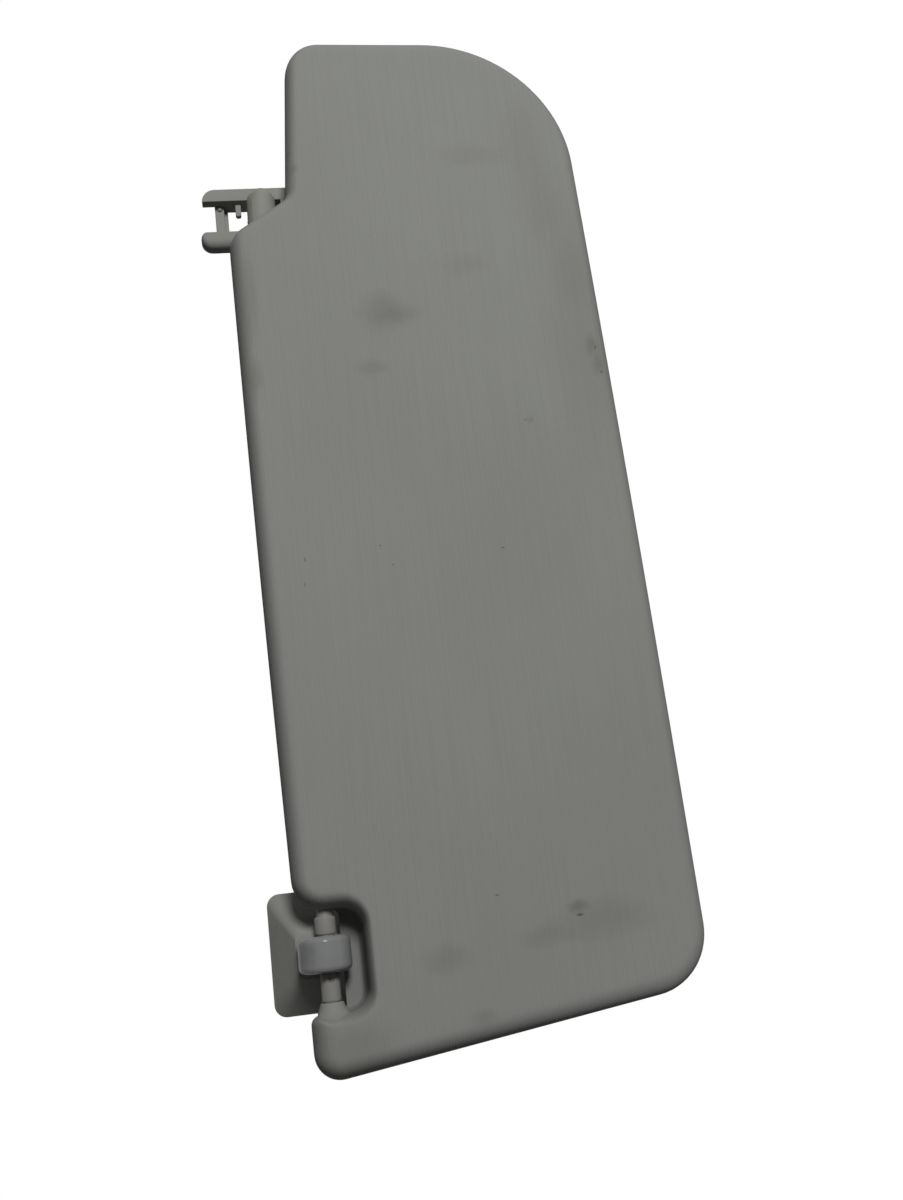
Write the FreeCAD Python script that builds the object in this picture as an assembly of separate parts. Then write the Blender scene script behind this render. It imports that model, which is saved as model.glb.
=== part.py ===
"""Left-hand car sun visor with its swivel base, pivot arm and roof retainer.

The visor is stowed flat under the roof. +Z is up to the roof and z = 0 is the roof face.
+X runs outboard along the pivot rod, and +Y runs to the rear, towards the free edge.
The origin is on the base's mounting face, on the swivel axis. All sizes are in millimetres.
"""
import FreeCAD, Part
import math
import os

os.makedirs("parts", exist_ok=True)

Vector = FreeCAD.Vector
ORIGIN = Vector(0, 0, 0)
X_AXIS = Vector(1, 0, 0)
Y_AXIS = Vector(0, 1, 0)
Z_AXIS = Vector(0, 0, 1)

# Visor outline, measured from the swivel axis (X) and from the tilt axis (Y)
axis_drop = 26.0          # roof face down to the tilt axis
lower_reach = 374.5       # swivel axis to the lower end, at the hinge edge
lower_skew = 19.4         # how much shorter the visor is at its free edge
ear_reach = 77.9          # swivel axis to the end of the ear
free_edge_base = 145.3    # tilt axis to the free edge, beside the swivel
free_edge_taper = 0.0157  # growth of that distance per millimetre of length
hinge_edge_base = 15.5    # tilt axis to the hinge edge, beside the base
hinge_edge_pin = 11.5     # the same, just above the pin notch
lobe_edge_high = 8.6      # the same, just below the pin notch
lobe_edge_low = 8.4       # the same, at the lower end
notch_foot = 19.6         # swivel axis to the foot of the slanted base notch
ear_root_x = -1.7         # head of the slanted notch, where the ear starts
ear_root_y = 10.7
ear_lean = 6.3            # how far the ear's inner edge leans out over its length

# Corner radii of the outline, seen from below
lobe_corner = 10.0
notch_mouth_low = 3.5
notch_mouth_high = 12.0
notch_foot_corner = 11.0
ear_root_corner = 5.0
ear_inner_corner = 16.0
ear_outer_corner = 65.0
lower_outer_corner = 25.0

# Thickness of the visor and how far each edge is rounded towards its faces
half_at_hinge = 12.5
half_at_free = 6.5
round_lobe = 8.5
round_hinge = 10.0
round_notch = 7.0
round_ear = 6.0
round_top = 6.5
round_free = 6.0
round_lower = 8.0
cover_wall = 0.8

# Pin notch with its fabric floor
lobe_length = 25.3        # lower end up to the notch
notch_length = 38.9
notch_depth = 14.2        # tilt axis to the inner wall
notch_corner = 8.0
notch_flare = 4.5         # rounding of the notch's front edge
notch_flare_high = 6.5    # the same along its upper wall
notch_bowl = 3.0          # rounding between its walls and its floor
notch_floor = 8.9         # tilt axis back to the floor
slot_edge = 5.4           # tilt axis to the edge of the slot through the floor
slot_corner = 3.0
slot_round = 1.6
notch_low = lower_reach - lobe_length
notch_high = notch_low - notch_length

# Pivot rod and the plastic sleeve over its elbow
rod_radius = 3.5
rod_bend = 5.0
rod_end = 4.0             # rod beyond the far end of its carrier
rod_top = 1.2             # rod's upper end below the roof face
sleeve_radius = 6.3
sleeve_reach = 27.0
sleeve_gap = 0.6          # between sleeve and the mouth in the visor
sleeve_chamfer = 0.8
running_gap = 0.05        # rod in its plastic bushes
flat_depth = 0.5          # flat on the rod under the detent clip
groove_depth = 0.4
ring_thick = 0.8
ring_radius = 5.6
stop_gap = 0.6            # between the stop ring and the core

# Swivel base
base_depth = 10.0
rail_depth = 5.0
rail_low_depth = 6.6
rail_high_in = 9.9
rail_high_lip = 12.6
rail_high_out = 17.9
rail_low_in = 3.8
rail_low_out = 11.6
rail_overlap = 1.2
prong_reach = 27.0        # swivel axis to the end of the upper prong
prong_low_reach = 29.0    # the same for the lower prong
base_rear = 29.0          # swivel axis to the rear end, behind the ear
lug_inset = 1.5           # rear end to the screw lugs
web_near = 14.2
web_far = 20.8
web_front = 5.2           # web's front face, from the roof
peg_side = 2.6
peg_length = 5.0
peg_inset = 8.8
nub_radius = 1.1
socket_radius = 6.4
bush_wall = 1.7
bush_flange = 0.8
flange_reach = 1.0
washer_gap = 0.05
washer_thick = 0.5
washer_height = 1.2
recess_radius = 6.0
recess_depth = 3.0
base_screw_radius = 2.2
base_screw_head = 4.2
base_screw_sink = 4.0
base_screw_pitch = 12.0
base_screw_centre_x = 3.5
base_screw_y = 21.5
rail_round = 2.4
prong_round = 6.2
prong_low_round = 5.5

# Carrier that holds the rod in the visor
carrier_gap = 3.0         # sleeve's end to the carrier
carrier_near = sleeve_reach + carrier_gap
carrier_length = 118.0
carrier_half_width = 8.0
carrier_half_height = 7.0
carrier_round = 2.0
bearing_length = 12.0
bearing_wall = 1.7
rod_clearance = 0.5
window_from = 58.0        # carrier's near end to its window
window_length = 28.0
window_wall = 1.2
detent_length = 22.0
detent_wall = 0.8
detent_half_gap = 1.5
detent_tail = 15.0
rivet_radius = 1.4
rivet_head = 2.4
rivet_head_thick = 0.8
rivet_pitch = 11.0
rivet_y = 11.0

# Wire frame inside the core
wire_radius = 1.5
wire_bend = 18.0
wire_start = 14.0         # near end of the carrier to the wire's socket
wire_socket = 3.0
wire_ear_inset = 26.0
wire_ear_lift = 22.0
wire_free_inset = 19.0
wire_lower_inset = 17.0

# End pin, its two anchors and the retainer on it
pin_end_radius = 3.05
pin_journal_radius = 3.45
pin_collar_high = 4.1
pin_collar_low = 3.75
collar_high_length = 6.8
collar_low_length = 10.2
collar_edge = 0.6
pin_anchor_depth = 13.0
anchor_length = 12.0
anchor_cover = 5.0        # core left between the notch and each anchor
anchor_half_width = 6.0
anchor_half_height = 5.5
anchor_rear = 8.0
lobe_neck_length = 4.3
lobe_neck_tip = 4.3
lobe_neck_root = 7.6
barrel_lift = 22.3        # lower wall of the notch up to the barrel's middle
barrel_length = 13.8
barrel_radius = 10.4
barrel_offset = 1.2       # barrel's own middle in front of the pin
barrel_round = 2.6
journal_gap = 0.06
end_play = 0.3

# Retainer foot
foot_length = 48.0
foot_front = 22.1         # tilt axis to the foot's front edge
foot_rear = 15.5
foot_rim = 3.2
foot_corner = 5.0
foot_shift = 1.3          # barrel's middle to the foot's middle, towards the base
neck_front = 12.0
neck_rear = 4.5
neck_length = 17.5
neck_corner = 3.0
neck_start = 6.0          # tilt axis to the lowest section of the neck
neck_straight = 12.0      # where the rear starts to flare
tenon_width = 6.0
tenon_length = 7.0
tenon_height = 5.0
foot_screw_radius = 1.9
foot_screw_depth = 8.0
foot_screw_offset = 12.0

# How far cutting shapes run past what they cut
past = 20.0


def flat_arc(start, through, end):
    return Part.Arc(start, through, end).toShape()


def rounded_outline(corners, radii):
    """Closed flat wire through the corners, each one rounded by a tangent arc."""
    count = len(corners)
    starts = []
    ends = []
    middles = []
    for index in range(count):
        corner = corners[index]
        before = (corners[index - 1] - corner).normalize()
        after = (corners[(index + 1) % count] - corner).normalize()
        half_angle = before.getAngle(after) / 2
        setback = radii[index] / math.tan(half_angle)
        bisector = (before + after).normalize()
        sagitta = radii[index] / math.sin(half_angle) - radii[index]
        starts.append(corner + before * setback)
        middles.append(corner + bisector * sagitta)
        ends.append(corner + after * setback)
    edges = []
    for index in range(count):
        following = (index + 1) % count
        edges.append(flat_arc(starts[index], middles[index], ends[index]))
        edges.append(Part.LineSegment(ends[index], starts[following]).toShape())
    return Part.Wire(edges)


def moved_in(corners, insets):
    """Corners of the outline after each edge has moved inwards by its own inset."""
    count = len(corners)
    lines = []
    for index in range(count):
        start = corners[index]
        along = (corners[(index + 1) % count] - start).normalize()
        inward = Vector(-along.y, along.x, 0)
        lines.append((start + inward * insets[index], along))
    moved = []
    for index in range(count):
        point_a, along_a = lines[index - 1]
        point_b, along_b = lines[index]
        cross = along_a.x * along_b.y - along_a.y * along_b.x
        gap = point_b - point_a
        share = (gap.x * along_b.y - gap.y * along_b.x) / cross
        moved.append(point_a + along_a * share)
    return moved


def moved_radii(corners, radii, insets):
    """Corner radii after the same move: outer corners shrink, inner corners grow."""
    count = len(corners)
    least = 0.8
    changed = []
    for index in range(count):
        before = corners[index] - corners[index - 1]
        after = corners[(index + 1) % count] - corners[index]
        turn = before.x * after.y - before.y * after.x
        inset = (insets[index - 1] + insets[index]) / 2
        radius = radii[index] - inset if turn > 0 else radii[index] + inset
        changed.append(max(radius, least))
    return changed


def to_tilt_axis(shape):
    """Moves a shape that was drawn about the tilt axis down to its real height."""
    return shape.translated(Vector(0, 0, -axis_drop))


def cylinder_x(radius, x_from, x_to, y=0.0, z=0.0):
    low = min(x_from, x_to)
    return Part.makeCylinder(radius, abs(x_to - x_from), Vector(low, y, z), X_AXIS)


def cylinder_z(radius, z_from, z_to, x=0.0, y=0.0):
    low = min(z_from, z_to)
    return Part.makeCylinder(radius, abs(z_to - z_from), Vector(x, y, low), Z_AXIS)


def block(x_range, y_range, z_range):
    sizes = []
    for pair in (x_range, y_range, z_range):
        sizes.append(max(pair) - min(pair))
    corner = Vector(min(x_range), min(y_range), min(z_range))
    return Part.makeBox(sizes[0], sizes[1], sizes[2], corner)


def circles_at(shape, x):
    """Round edges of the shape whose centre lies at this x."""
    chosen = []
    for edge in shape.Edges:
        if edge.Degenerated or edge.Curve.TypeId != "Part::GeomCircle":
            continue
        if abs(edge.CenterOfMass.x - x) < 0.01:
            chosen.append(edge)
    return chosen


def edges_along(shape, direction):
    """Straight edges of the shape that run along the direction."""
    chosen = []
    for edge in shape.Edges:
        if edge.Degenerated or edge.Curve.TypeId != "Part::GeomLine":
            continue
        along = (edge.Vertexes[-1].Point - edge.Vertexes[0].Point).normalize()
        if abs(abs(along.dot(direction)) - 1) < 1e-6:
            chosen.append(edge)
    return chosen


def export(name, shape):
    shape.exportStep(os.path.join("parts", name + ".step"))
    print(name, len(shape.Solids), "solids, valid", shape.isValid(), "volume", round(shape.Volume))


# Outline of the visor, with the pin notch in its hinge edge
def free_edge(x):
    return free_edge_base - free_edge_taper * x


def visor_corners(depth):
    """Corners of the outline, for a pin notch of the given depth from the tilt axis."""
    return [
        Vector(-lower_reach, -lobe_edge_low, 0),
        Vector(-notch_low, -lobe_edge_high, 0),
        Vector(-notch_low, depth, 0),
        Vector(-notch_high, depth, 0),
        Vector(-notch_high, -hinge_edge_pin, 0),
        Vector(-notch_foot, -hinge_edge_base, 0),
        Vector(ear_root_x, ear_root_y, 0),
        Vector(ear_reach, ear_root_y + ear_lean, 0),
        Vector(ear_reach, free_edge(ear_reach), 0),
        Vector(lower_skew - lower_reach, free_edge(lower_skew - lower_reach), 0),
    ]


def visor_radii(inner_corner):
    return [
        lobe_corner,
        notch_mouth_low,
        inner_corner,
        inner_corner,
        notch_mouth_high,
        notch_foot_corner,
        ear_root_corner,
        ear_inner_corner,
        ear_outer_corner,
        lower_outer_corner,
    ]


def edge_rounds(notch_round, high_round):
    return [
        round_lobe,
        notch_round,
        notch_round,
        high_round,
        round_hinge,
        round_notch,
        round_ear,
        round_top,
        round_free,
        round_lower,
    ]


section_angles = [0, 15, 30, 45, 60, 75, 90]
half_taper = (half_at_hinge - half_at_free) / (free_edge_base + hinge_edge_base)


def visor_half(side, skin):
    """Front (side -1) or back (side +1) half of the visor, inset all over by the skin."""
    depth, inner_corner = notch_depth, notch_corner
    rounds = edge_rounds(notch_flare, notch_flare_high)
    if side > 0:
        depth, inner_corner = slot_edge, slot_corner
        rounds = edge_rounds(slot_round, slot_round)
    half_here = half_at_hinge - skin
    apex_y = half_here / half_taper - hinge_edge_base
    base_corners = visor_corners(depth)
    base_radii = visor_radii(inner_corner)
    sections = []
    for angle in section_angles:
        lean = math.radians(angle)
        insets = []
        for rounding in rounds:
            insets.append(skin + (rounding - skin) * (1 - math.cos(lean)))
        corners = moved_in(base_corners, insets)
        radii = moved_radii(base_corners, base_radii, insets)
        section = rounded_outline(corners, radii)
        tilt = math.degrees(math.atan(half_taper * math.sin(lean)))
        section.rotate(Vector(0, apex_y, 0), X_AXIS, -side * tilt)
        sections.append(section)
    return Part.makeLoft(sections, True, True)


def bowl_section(grow, height):
    """Outline of the bowl behind the notch at one height; it opens into the slot."""
    corners = [
        Vector(-notch_low - grow, 0, height),
        Vector(-notch_high + grow, 0, height),
        Vector(-notch_high + grow, notch_depth + grow, height),
        Vector(-notch_low - grow, notch_depth + grow, height),
    ]
    inner = notch_corner + grow
    return rounded_outline(corners, [slot_round, slot_round, inner, inner])


def bowl_space(skin):
    """Space between the inner edge of the notch and the fabric floor of the bowl."""
    sections = []
    for angle in section_angles:
        lean = math.radians(angle)
        grow = skin - notch_bowl * (1 - math.cos(lean))
        sections.append(bowl_section(grow, (notch_floor + skin) * math.sin(lean)))
    return Part.makeLoft(sections, True, True)


# Path of the wire frame, from the rod carrier round the ear and back to the lower anchor
lower_anchor_x = -notch_low - anchor_cover - anchor_length / 2
wire_path_corners = [
    Vector(-carrier_near - wire_start, carrier_half_width - wire_socket, 0),
    Vector(-carrier_near - wire_start, ear_root_y + wire_ear_lift, 0),
    Vector(ear_reach - wire_ear_inset, ear_root_y + wire_ear_lift, 0),
    Vector(ear_reach - wire_ear_inset, free_edge(ear_reach) - wire_free_inset, 0),
    Vector(lower_skew - lower_reach + wire_lower_inset, free_edge(0) - wire_free_inset, 0),
    Vector(lower_anchor_x, anchor_rear - wire_socket, 0),
]


def wire_shape(radius):
    """Round wire that follows the path, with a tangent bend at each corner."""
    edges = []
    start = wire_path_corners[0]
    for index in range(1, len(wire_path_corners) - 1):
        corner = wire_path_corners[index]
        before = (wire_path_corners[index - 1] - corner).normalize()
        after = (wire_path_corners[index + 1] - corner).normalize()
        half_angle = before.getAngle(after) / 2
        shortest = min((wire_path_corners[index - 1] - corner).Length,
                       (wire_path_corners[index + 1] - corner).Length)
        bend = min(wire_bend, 0.45 * shortest * math.tan(half_angle))
        setback = bend / math.tan(half_angle)
        bisector = (before + after).normalize()
        middle = corner + bisector * (bend / math.sin(half_angle) - bend)
        edges.append(Part.LineSegment(start, corner + before * setback).toShape())
        edges.append(flat_arc(corner + before * setback, middle, corner + after * setback))
        start = corner + after * setback
    edges.append(Part.LineSegment(start, wire_path_corners[-1]).toShape())
    path = Part.Wire(edges)
    first = wire_path_corners[0]
    along = (wire_path_corners[1] - first).normalize()
    profile = Part.Wire([Part.makeCircle(radius, first, along)])
    return path.makePipeShell([profile], True, False)


# Pivot rod
carrier_far = carrier_near + carrier_length
window_near = carrier_near + window_from
window_far = window_near + window_length
detent_mid_x = -(window_near + window_far) / 2
groove_z = axis_drop - recess_depth + ring_thick / 2 + running_gap
groove_x = -carrier_far - ring_thick / 2 - running_gap


def pivot_rod():
    straight = cylinder_x(rod_radius, -carrier_far - rod_end, -rod_bend)
    circle = Part.Face(Part.Wire([Part.makeCircle(rod_radius, Vector(-rod_bend, 0, 0), X_AXIS)]))
    bend = circle.revolve(Vector(-rod_bend, 0, rod_bend), Y_AXIS, -90)
    upright = cylinder_z(rod_radius, rod_bend, axis_drop - rod_top)
    rod = straight.fuse([bend, upright]).removeSplitter()
    flat_reach = detent_length / 2 + 1
    flat = block((detent_mid_x - flat_reach, detent_mid_x + flat_reach),
                 (rod_radius - flat_depth, rod_radius + 1), (-rod_radius, rod_radius))
    rod = rod.cut(flat)
    rod = rod.cut(snap_ring(groove_z, rod_radius + 1))
    return rod.cut(stop_ring(groove_x, rod_radius + 1))


def snap_ring(centre_z, outer):
    """Flat ring on the upright end of the rod."""
    low = centre_z - ring_thick / 2
    high = centre_z + ring_thick / 2
    ring = cylinder_z(outer, low, high)
    return ring.cut(cylinder_z(rod_radius - groove_depth, low, high))


def stop_ring(centre_x, outer):
    """Flat ring on the inner end of the rod, behind the carrier."""
    low = centre_x - ring_thick / 2
    high = centre_x + ring_thick / 2
    ring = cylinder_x(outer, low, high)
    return ring.cut(cylinder_x(rod_radius - groove_depth, low, high))


# Elbow sleeve, moulded over the rod's bend
sleeve_top = axis_drop - base_depth - bush_flange - washer_gap - washer_height


def elbow_sleeve():
    straight = cylinder_x(sleeve_radius, -sleeve_reach, 0)
    dome = Part.makeSphere(sleeve_radius)
    upright = cylinder_z(sleeve_radius, 0, sleeve_top)
    sleeve = straight.fuse([dome, upright]).removeSplitter()
    sleeve = sleeve.makeChamfer(sleeve_chamfer, circles_at(sleeve, -sleeve_reach))
    return sleeve.cut(pivot_rod())


# Conical spring washer between the sleeve and the bush
def spring_washer():
    inner = rod_radius + 0.2
    outer = sleeve_radius - 0.3
    low = sleeve_top
    high = sleeve_top + washer_height
    points = [
        Vector(inner, 0, high - washer_thick),
        Vector(inner, 0, high),
        Vector(outer, 0, low + washer_thick),
        Vector(outer, 0, low),
    ]
    profile = Part.Face(Part.makePolygon(points + [points[0]]))
    return profile.revolve(ORIGIN, Z_AXIS, 360)


# Swivel bush, pressed into the base from below
bush_bore = rod_radius + running_gap
bush_radius = rod_radius + bush_wall


def swivel_bush():
    barrel = cylinder_z(bush_radius, -base_depth, -recess_depth)
    flange = cylinder_z(bush_radius + flange_reach, -base_depth - bush_flange, -base_depth)
    bore = cylinder_z(bush_bore, -base_depth - bush_flange, -recess_depth)
    return barrel.fuse(flange).removeSplitter().cut(bore)


# Base bracket with its two prongs, web, peg and screw lugs
def rail(x_range, front_corner_x, reach, depth, rounding):
    """One rail of the base: its prong's front corner is swept round, its edges are eased."""
    full = block(x_range, (-reach, base_rear), (-base_depth, -base_depth + depth))
    corner_edges = []
    for edge in edges_along(full, Z_AXIS):
        point = edge.CenterOfMass
        if abs(point.x - front_corner_x) < 0.01:
            corner_edges.append(edge)
    return full.makeFillet(rounding, corner_edges)


def base_bracket():
    high_rail = rail((rail_high_lip - rail_overlap, rail_high_out), rail_high_out,
                     prong_reach, rail_depth, prong_round)
    low_rail = rail((-rail_low_out, -rail_low_in), -rail_low_out,
                    prong_low_reach, rail_low_depth, prong_low_round)
    low_front = []
    for edge in low_rail.Edges:
        middle = edge.CenterOfMass
        on_front = abs(middle.z + base_depth) < 0.01
        if on_front and middle.x < -rail_low_in - 0.5:
            low_front.append(edge)
    low_rail = low_rail.makeFillet(rail_round, low_front)
    inner_high = block((rail_high_in, rail_high_lip), (-web_far, base_rear - lug_inset),
                       (-base_depth + 1.0, 0))
    inner_low = block((-rail_low_in - 2.0, -rail_low_in), (-web_far, base_rear - lug_inset),
                      (-base_depth + rail_depth, 0))
    web = block((-rail_low_in, rail_high_in), (-web_far, -web_near), (-web_front, 0))
    socket = cylinder_z(socket_radius, -base_depth, 0)
    lug = block((-rail_low_in, rail_high_in), (0, base_rear - lug_inset), (-base_depth, 0))
    lug_high = block((rail_high_in, rail_high_lip), (0, base_rear - lug_inset), (-base_depth, 0))
    peg_front = (base_depth + web_front) / 2
    peg = block((rail_high_in - peg_length, rail_high_in + 0.5),
                (-peg_inset - peg_side, -peg_inset), (-peg_front, -peg_front + peg_side))
    nub_y = -(web_near + web_far) / 2
    nub = Part.makeSphere(nub_radius, Vector(rail_high_in - 1.4, nub_y, -web_front))
    body = high_rail.fuse([low_rail, inner_high, inner_low, web, socket, lug, lug_high, peg, nub])
    body = body.cut(cylinder_z(bush_radius, -base_depth, 0))
    body = body.cut(cylinder_z(recess_radius, -recess_depth, 0))
    for offset in (-base_screw_pitch / 2, base_screw_pitch / 2):
        hole_x = base_screw_centre_x + offset
        body = body.cut(cylinder_z(base_screw_radius, -base_depth, 0, hole_x, base_screw_y))
        sink = cylinder_z(base_screw_head, -base_depth, -base_depth + base_screw_sink,
                          hole_x, base_screw_y)
        body = body.cut(sink)
    return body.removeSplitter()


# Rod carrier with its two nylon bearings and its detent clip
bearing_radius = rod_radius + bearing_wall
detent_outer = rod_radius + running_gap + detent_wall


def carrier_envelope():
    body = block((-carrier_far, -carrier_near), (-carrier_half_width, carrier_half_width),
                 (-carrier_half_height, carrier_half_height))
    return body.makeFillet(carrier_round, edges_along(body, X_AXIS))


def tail_envelope():
    """Room in the core beside the carrier for the clip's tails and rivet heads."""
    half_height = detent_half_gap + detent_wall + rivet_head_thick
    half_length = detent_length / 2
    return block((detent_mid_x - half_length, detent_mid_x + half_length),
                 (carrier_half_width - 1, detent_tail + 1), (-half_height, half_height))


def rod_carrier():
    body = carrier_envelope()
    body = body.cut(cylinder_x(rod_radius + rod_clearance, -carrier_far, -carrier_near))
    for end in (-carrier_near, -carrier_far + bearing_length):
        body = body.cut(cylinder_x(bearing_radius, end - bearing_length, end))
    window_half = carrier_half_height - window_wall
    window = block((-window_far, -window_near), (window_wall - carrier_half_width, past),
                   (-window_half, window_half))
    body = body.cut(window)
    tongue_half = detent_length / 2 - 1
    tongue = block((detent_mid_x - tongue_half, detent_mid_x + tongue_half),
                   (detent_outer + 1.5, detent_tail), (-detent_half_gap, detent_half_gap))
    bridges = block((-window_far, -window_near), (detent_outer + 1.5, carrier_half_width),
                    (-detent_half_gap, detent_half_gap))
    body = body.fuse([tongue, bridges]).removeSplitter()
    for offset in (-rivet_pitch / 2, rivet_pitch / 2):
        body = body.cut(cylinder_z(rivet_radius, -past, past, detent_mid_x + offset, rivet_y))
    return body.cut(wire_shape(wire_radius))


def rod_bearing(end):
    shell = cylinder_x(bearing_radius, end - bearing_length, end)
    return shell.cut(cylinder_x(rod_radius + running_gap, end - bearing_length, end))


def detent_clip():
    low = detent_mid_x - detent_length / 2
    high = detent_mid_x + detent_length / 2
    outer_gap = detent_half_gap + detent_wall
    wrap = cylinder_x(detent_outer, low, high)
    tails = block((low, high), (0, detent_tail), (-outer_gap, outer_gap))
    clip = wrap.fuse(tails)
    clip = clip.cut(block((low, high), (0, detent_tail), (-detent_half_gap, detent_half_gap)))
    clip = clip.cut(cylinder_x(rod_radius + running_gap, low, high))
    for offset in (-rivet_pitch / 2, rivet_pitch / 2):
        clip = clip.cut(cylinder_z(rivet_radius, -past, past, detent_mid_x + offset, rivet_y))
    return clip.removeSplitter()


def detent_rivets():
    rivets = []
    plate = detent_half_gap + detent_wall
    for offset in (-rivet_pitch / 2, rivet_pitch / 2):
        x = detent_mid_x + offset
        rivet = cylinder_z(rivet_radius, -plate, plate, x, rivet_y)
        rivet = rivet.fuse(cylinder_z(rivet_head, plate, plate + rivet_head_thick, x, rivet_y))
        rivet = rivet.fuse(cylinder_z(rivet_head, -plate - rivet_head_thick, -plate, x, rivet_y))
        rivets.append(rivet.removeSplitter())
    return Part.makeCompound(rivets)


# End pin across the notch, and the two anchors that hold it
flare_top = axis_drop - foot_rim
barrel_centre = notch_low - barrel_lift
foot_centre = barrel_centre - foot_shift
barrel_high = -barrel_centre + barrel_length / 2
barrel_low = -barrel_centre - barrel_length / 2
collar_high_start = barrel_high + end_play
collar_low_start = barrel_low - end_play
pin_high = -notch_high + pin_anchor_depth + anchor_cover
pin_low = -notch_low - pin_anchor_depth


def end_pin():
    collar_high_end = collar_high_start + collar_high_length
    collar_low_end = collar_low_start - collar_low_length
    points = [
        Vector(pin_low, 0, 0),
        Vector(pin_low, pin_end_radius, 0),
        Vector(collar_low_end, pin_end_radius, 0),
        Vector(collar_low_end, pin_collar_low, 0),
        Vector(collar_low_start - collar_edge, pin_collar_low, 0),
        Vector(collar_low_start, pin_collar_low - collar_edge + 0.4, 0),
        Vector(collar_low_start, pin_journal_radius, 0),
        Vector(collar_high_start, pin_journal_radius, 0),
        Vector(collar_high_start, pin_collar_high, 0),
        Vector(collar_high_end - collar_edge, pin_collar_high, 0),
        Vector(collar_high_end, pin_collar_high - collar_edge, 0),
        Vector(collar_high_end, pin_end_radius, 0),
        Vector(pin_high, pin_end_radius, 0),
        Vector(pin_high, 0, 0),
    ]
    profile = Part.Face(Part.makePolygon(points + [points[0]]))
    return profile.revolve(ORIGIN, X_AXIS, 360)


def anchor_envelope(near):
    """Block round one end of the pin; near is its end beside the notch."""
    far = near + anchor_length if near > -barrel_centre else near - anchor_length
    body = block((near, far), (-anchor_half_width, anchor_rear),
                 (-anchor_half_height, anchor_half_height))
    return body.makeFillet(1.5, edges_along(body, X_AXIS))


upper_anchor_near = -notch_high + anchor_cover
lower_anchor_near = -notch_low - anchor_cover


# Core halves and cover halves
def lobe_neck():
    """Short cone of cover round the pin, on the lower wall of the notch."""
    root = -notch_low - 1.0
    tip = -notch_low + lobe_neck_length
    return Part.makeCone(lobe_neck_root, lobe_neck_tip, tip - root, Vector(root, 0, 0), X_AXIS)


def visor_pieces():
    mouth = cylinder_x(sleeve_radius + sleeve_gap, -carrier_near, past)
    pin_bore = cylinder_x(pin_end_radius, pin_low, pin_high)
    stop_room = cylinder_x(ring_radius + stop_gap, -carrier_far - rod_end - stop_gap, -carrier_far)
    inner_parts = [carrier_envelope(), tail_envelope(), wire_shape(wire_radius),
                   anchor_envelope(upper_anchor_near), anchor_envelope(lower_anchor_near),
                   stop_room]
    pieces = {}
    for side, name in ((-1, "front"), (1, "back")):
        outer = visor_half(side, 0.0)
        inner = visor_half(side, cover_wall)
        if side > 0:
            outer = outer.cut(bowl_space(0.0))
            inner = inner.cut(bowl_space(cover_wall))
        neck = lobe_neck()
        keep = block((-lower_reach, 0), (-past, past), (0, side * past))
        neck = neck.common(keep)
        outer = outer.fuse(neck).removeSplitter()
        cover = outer.cut(inner)
        cover = cover.cut([mouth, pin_bore])
        core = inner.cut([mouth, pin_bore] + inner_parts)
        pieces[name + "_cover"] = cover
        pieces[name + "_core"] = core
    return pieces


# Retainer: a barrel on the pin and a flared foot with a saddle for it
def retainer_barrel():
    half = barrel_length / 2
    profile_points = [Vector(-half, 0, 0)]
    for angle in (0, 22.5, 45, 67.5, 90):
        lean = math.radians(angle)
        x = -half + barrel_round * (1 - math.cos(lean))
        y = barrel_radius - barrel_round * (1 - math.sin(lean))
        profile_points.append(Vector(x, y, 0))
    mirrored = []
    for point in reversed(profile_points):
        mirrored.append(Vector(-point.x, point.y, 0))
    outline = profile_points + mirrored
    profile = Part.Face(Part.makePolygon(outline + [outline[0]]))
    barrel = profile.revolve(ORIGIN, X_AXIS, 360)
    barrel = barrel.translated(Vector(-barrel_centre, -barrel_offset, 0))
    tenon_half = tenon_length / 2
    tenon_middle = (neck_rear - neck_front) / 2
    tenon = block((-barrel_centre - tenon_half, -barrel_centre + tenon_half),
                  (tenon_middle - tenon_width / 2, tenon_middle + tenon_width / 2),
                  (0, barrel_radius + tenon_height))
    barrel = barrel.fuse(tenon)
    bore = cylinder_x(pin_journal_radius + journal_gap, barrel_low, barrel_high)
    return barrel.cut(bore).removeSplitter()


def foot_section(share, rear_share, height):
    """Section of the foot between the neck (shares 0) and the rim (shares 1)."""
    def between(low, high):
        return low + (high - low) * share
    half = between(neck_length, foot_length) / 2
    centre = between(barrel_centre, foot_centre)
    front = between(neck_front, foot_front)
    rear = neck_rear + (foot_rear - neck_rear) * rear_share
    corner = between(neck_corner, foot_corner)
    corners = [
        Vector(-centre - half, -front, height),
        Vector(-centre + half, -front, height),
        Vector(-centre + half, rear, height),
        Vector(-centre - half, rear, height),
    ]
    return rounded_outline(corners, [corner] * 4)


def retainer_foot():
    sections = [foot_section(0, 0, neck_start)]
    for step in range(7):
        lean = math.radians(90 * step / 6)
        height = neck_straight + (flare_top - neck_straight) * math.sin(lean)
        share = (height - neck_start) / (flare_top - neck_start)
        sections.append(foot_section(share, 1 - math.cos(lean), height))
    sections.append(foot_section(1, 1, axis_drop))
    foot = Part.makeLoft(sections, True, True)
    foot = foot.cut(retainer_barrel())
    hole_y = (foot_rear - foot_front) / 2
    for side in (-1, 1):
        hole = cylinder_z(foot_screw_radius, axis_drop - foot_screw_depth, axis_drop,
                          -foot_centre + side * foot_screw_offset, hole_y)
        foot = foot.cut(hole)
    return foot.removeSplitter()


# Everything below is placed in the roof frame and written out
export("base_bracket", base_bracket())
export("swivel_bush", swivel_bush())

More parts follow.
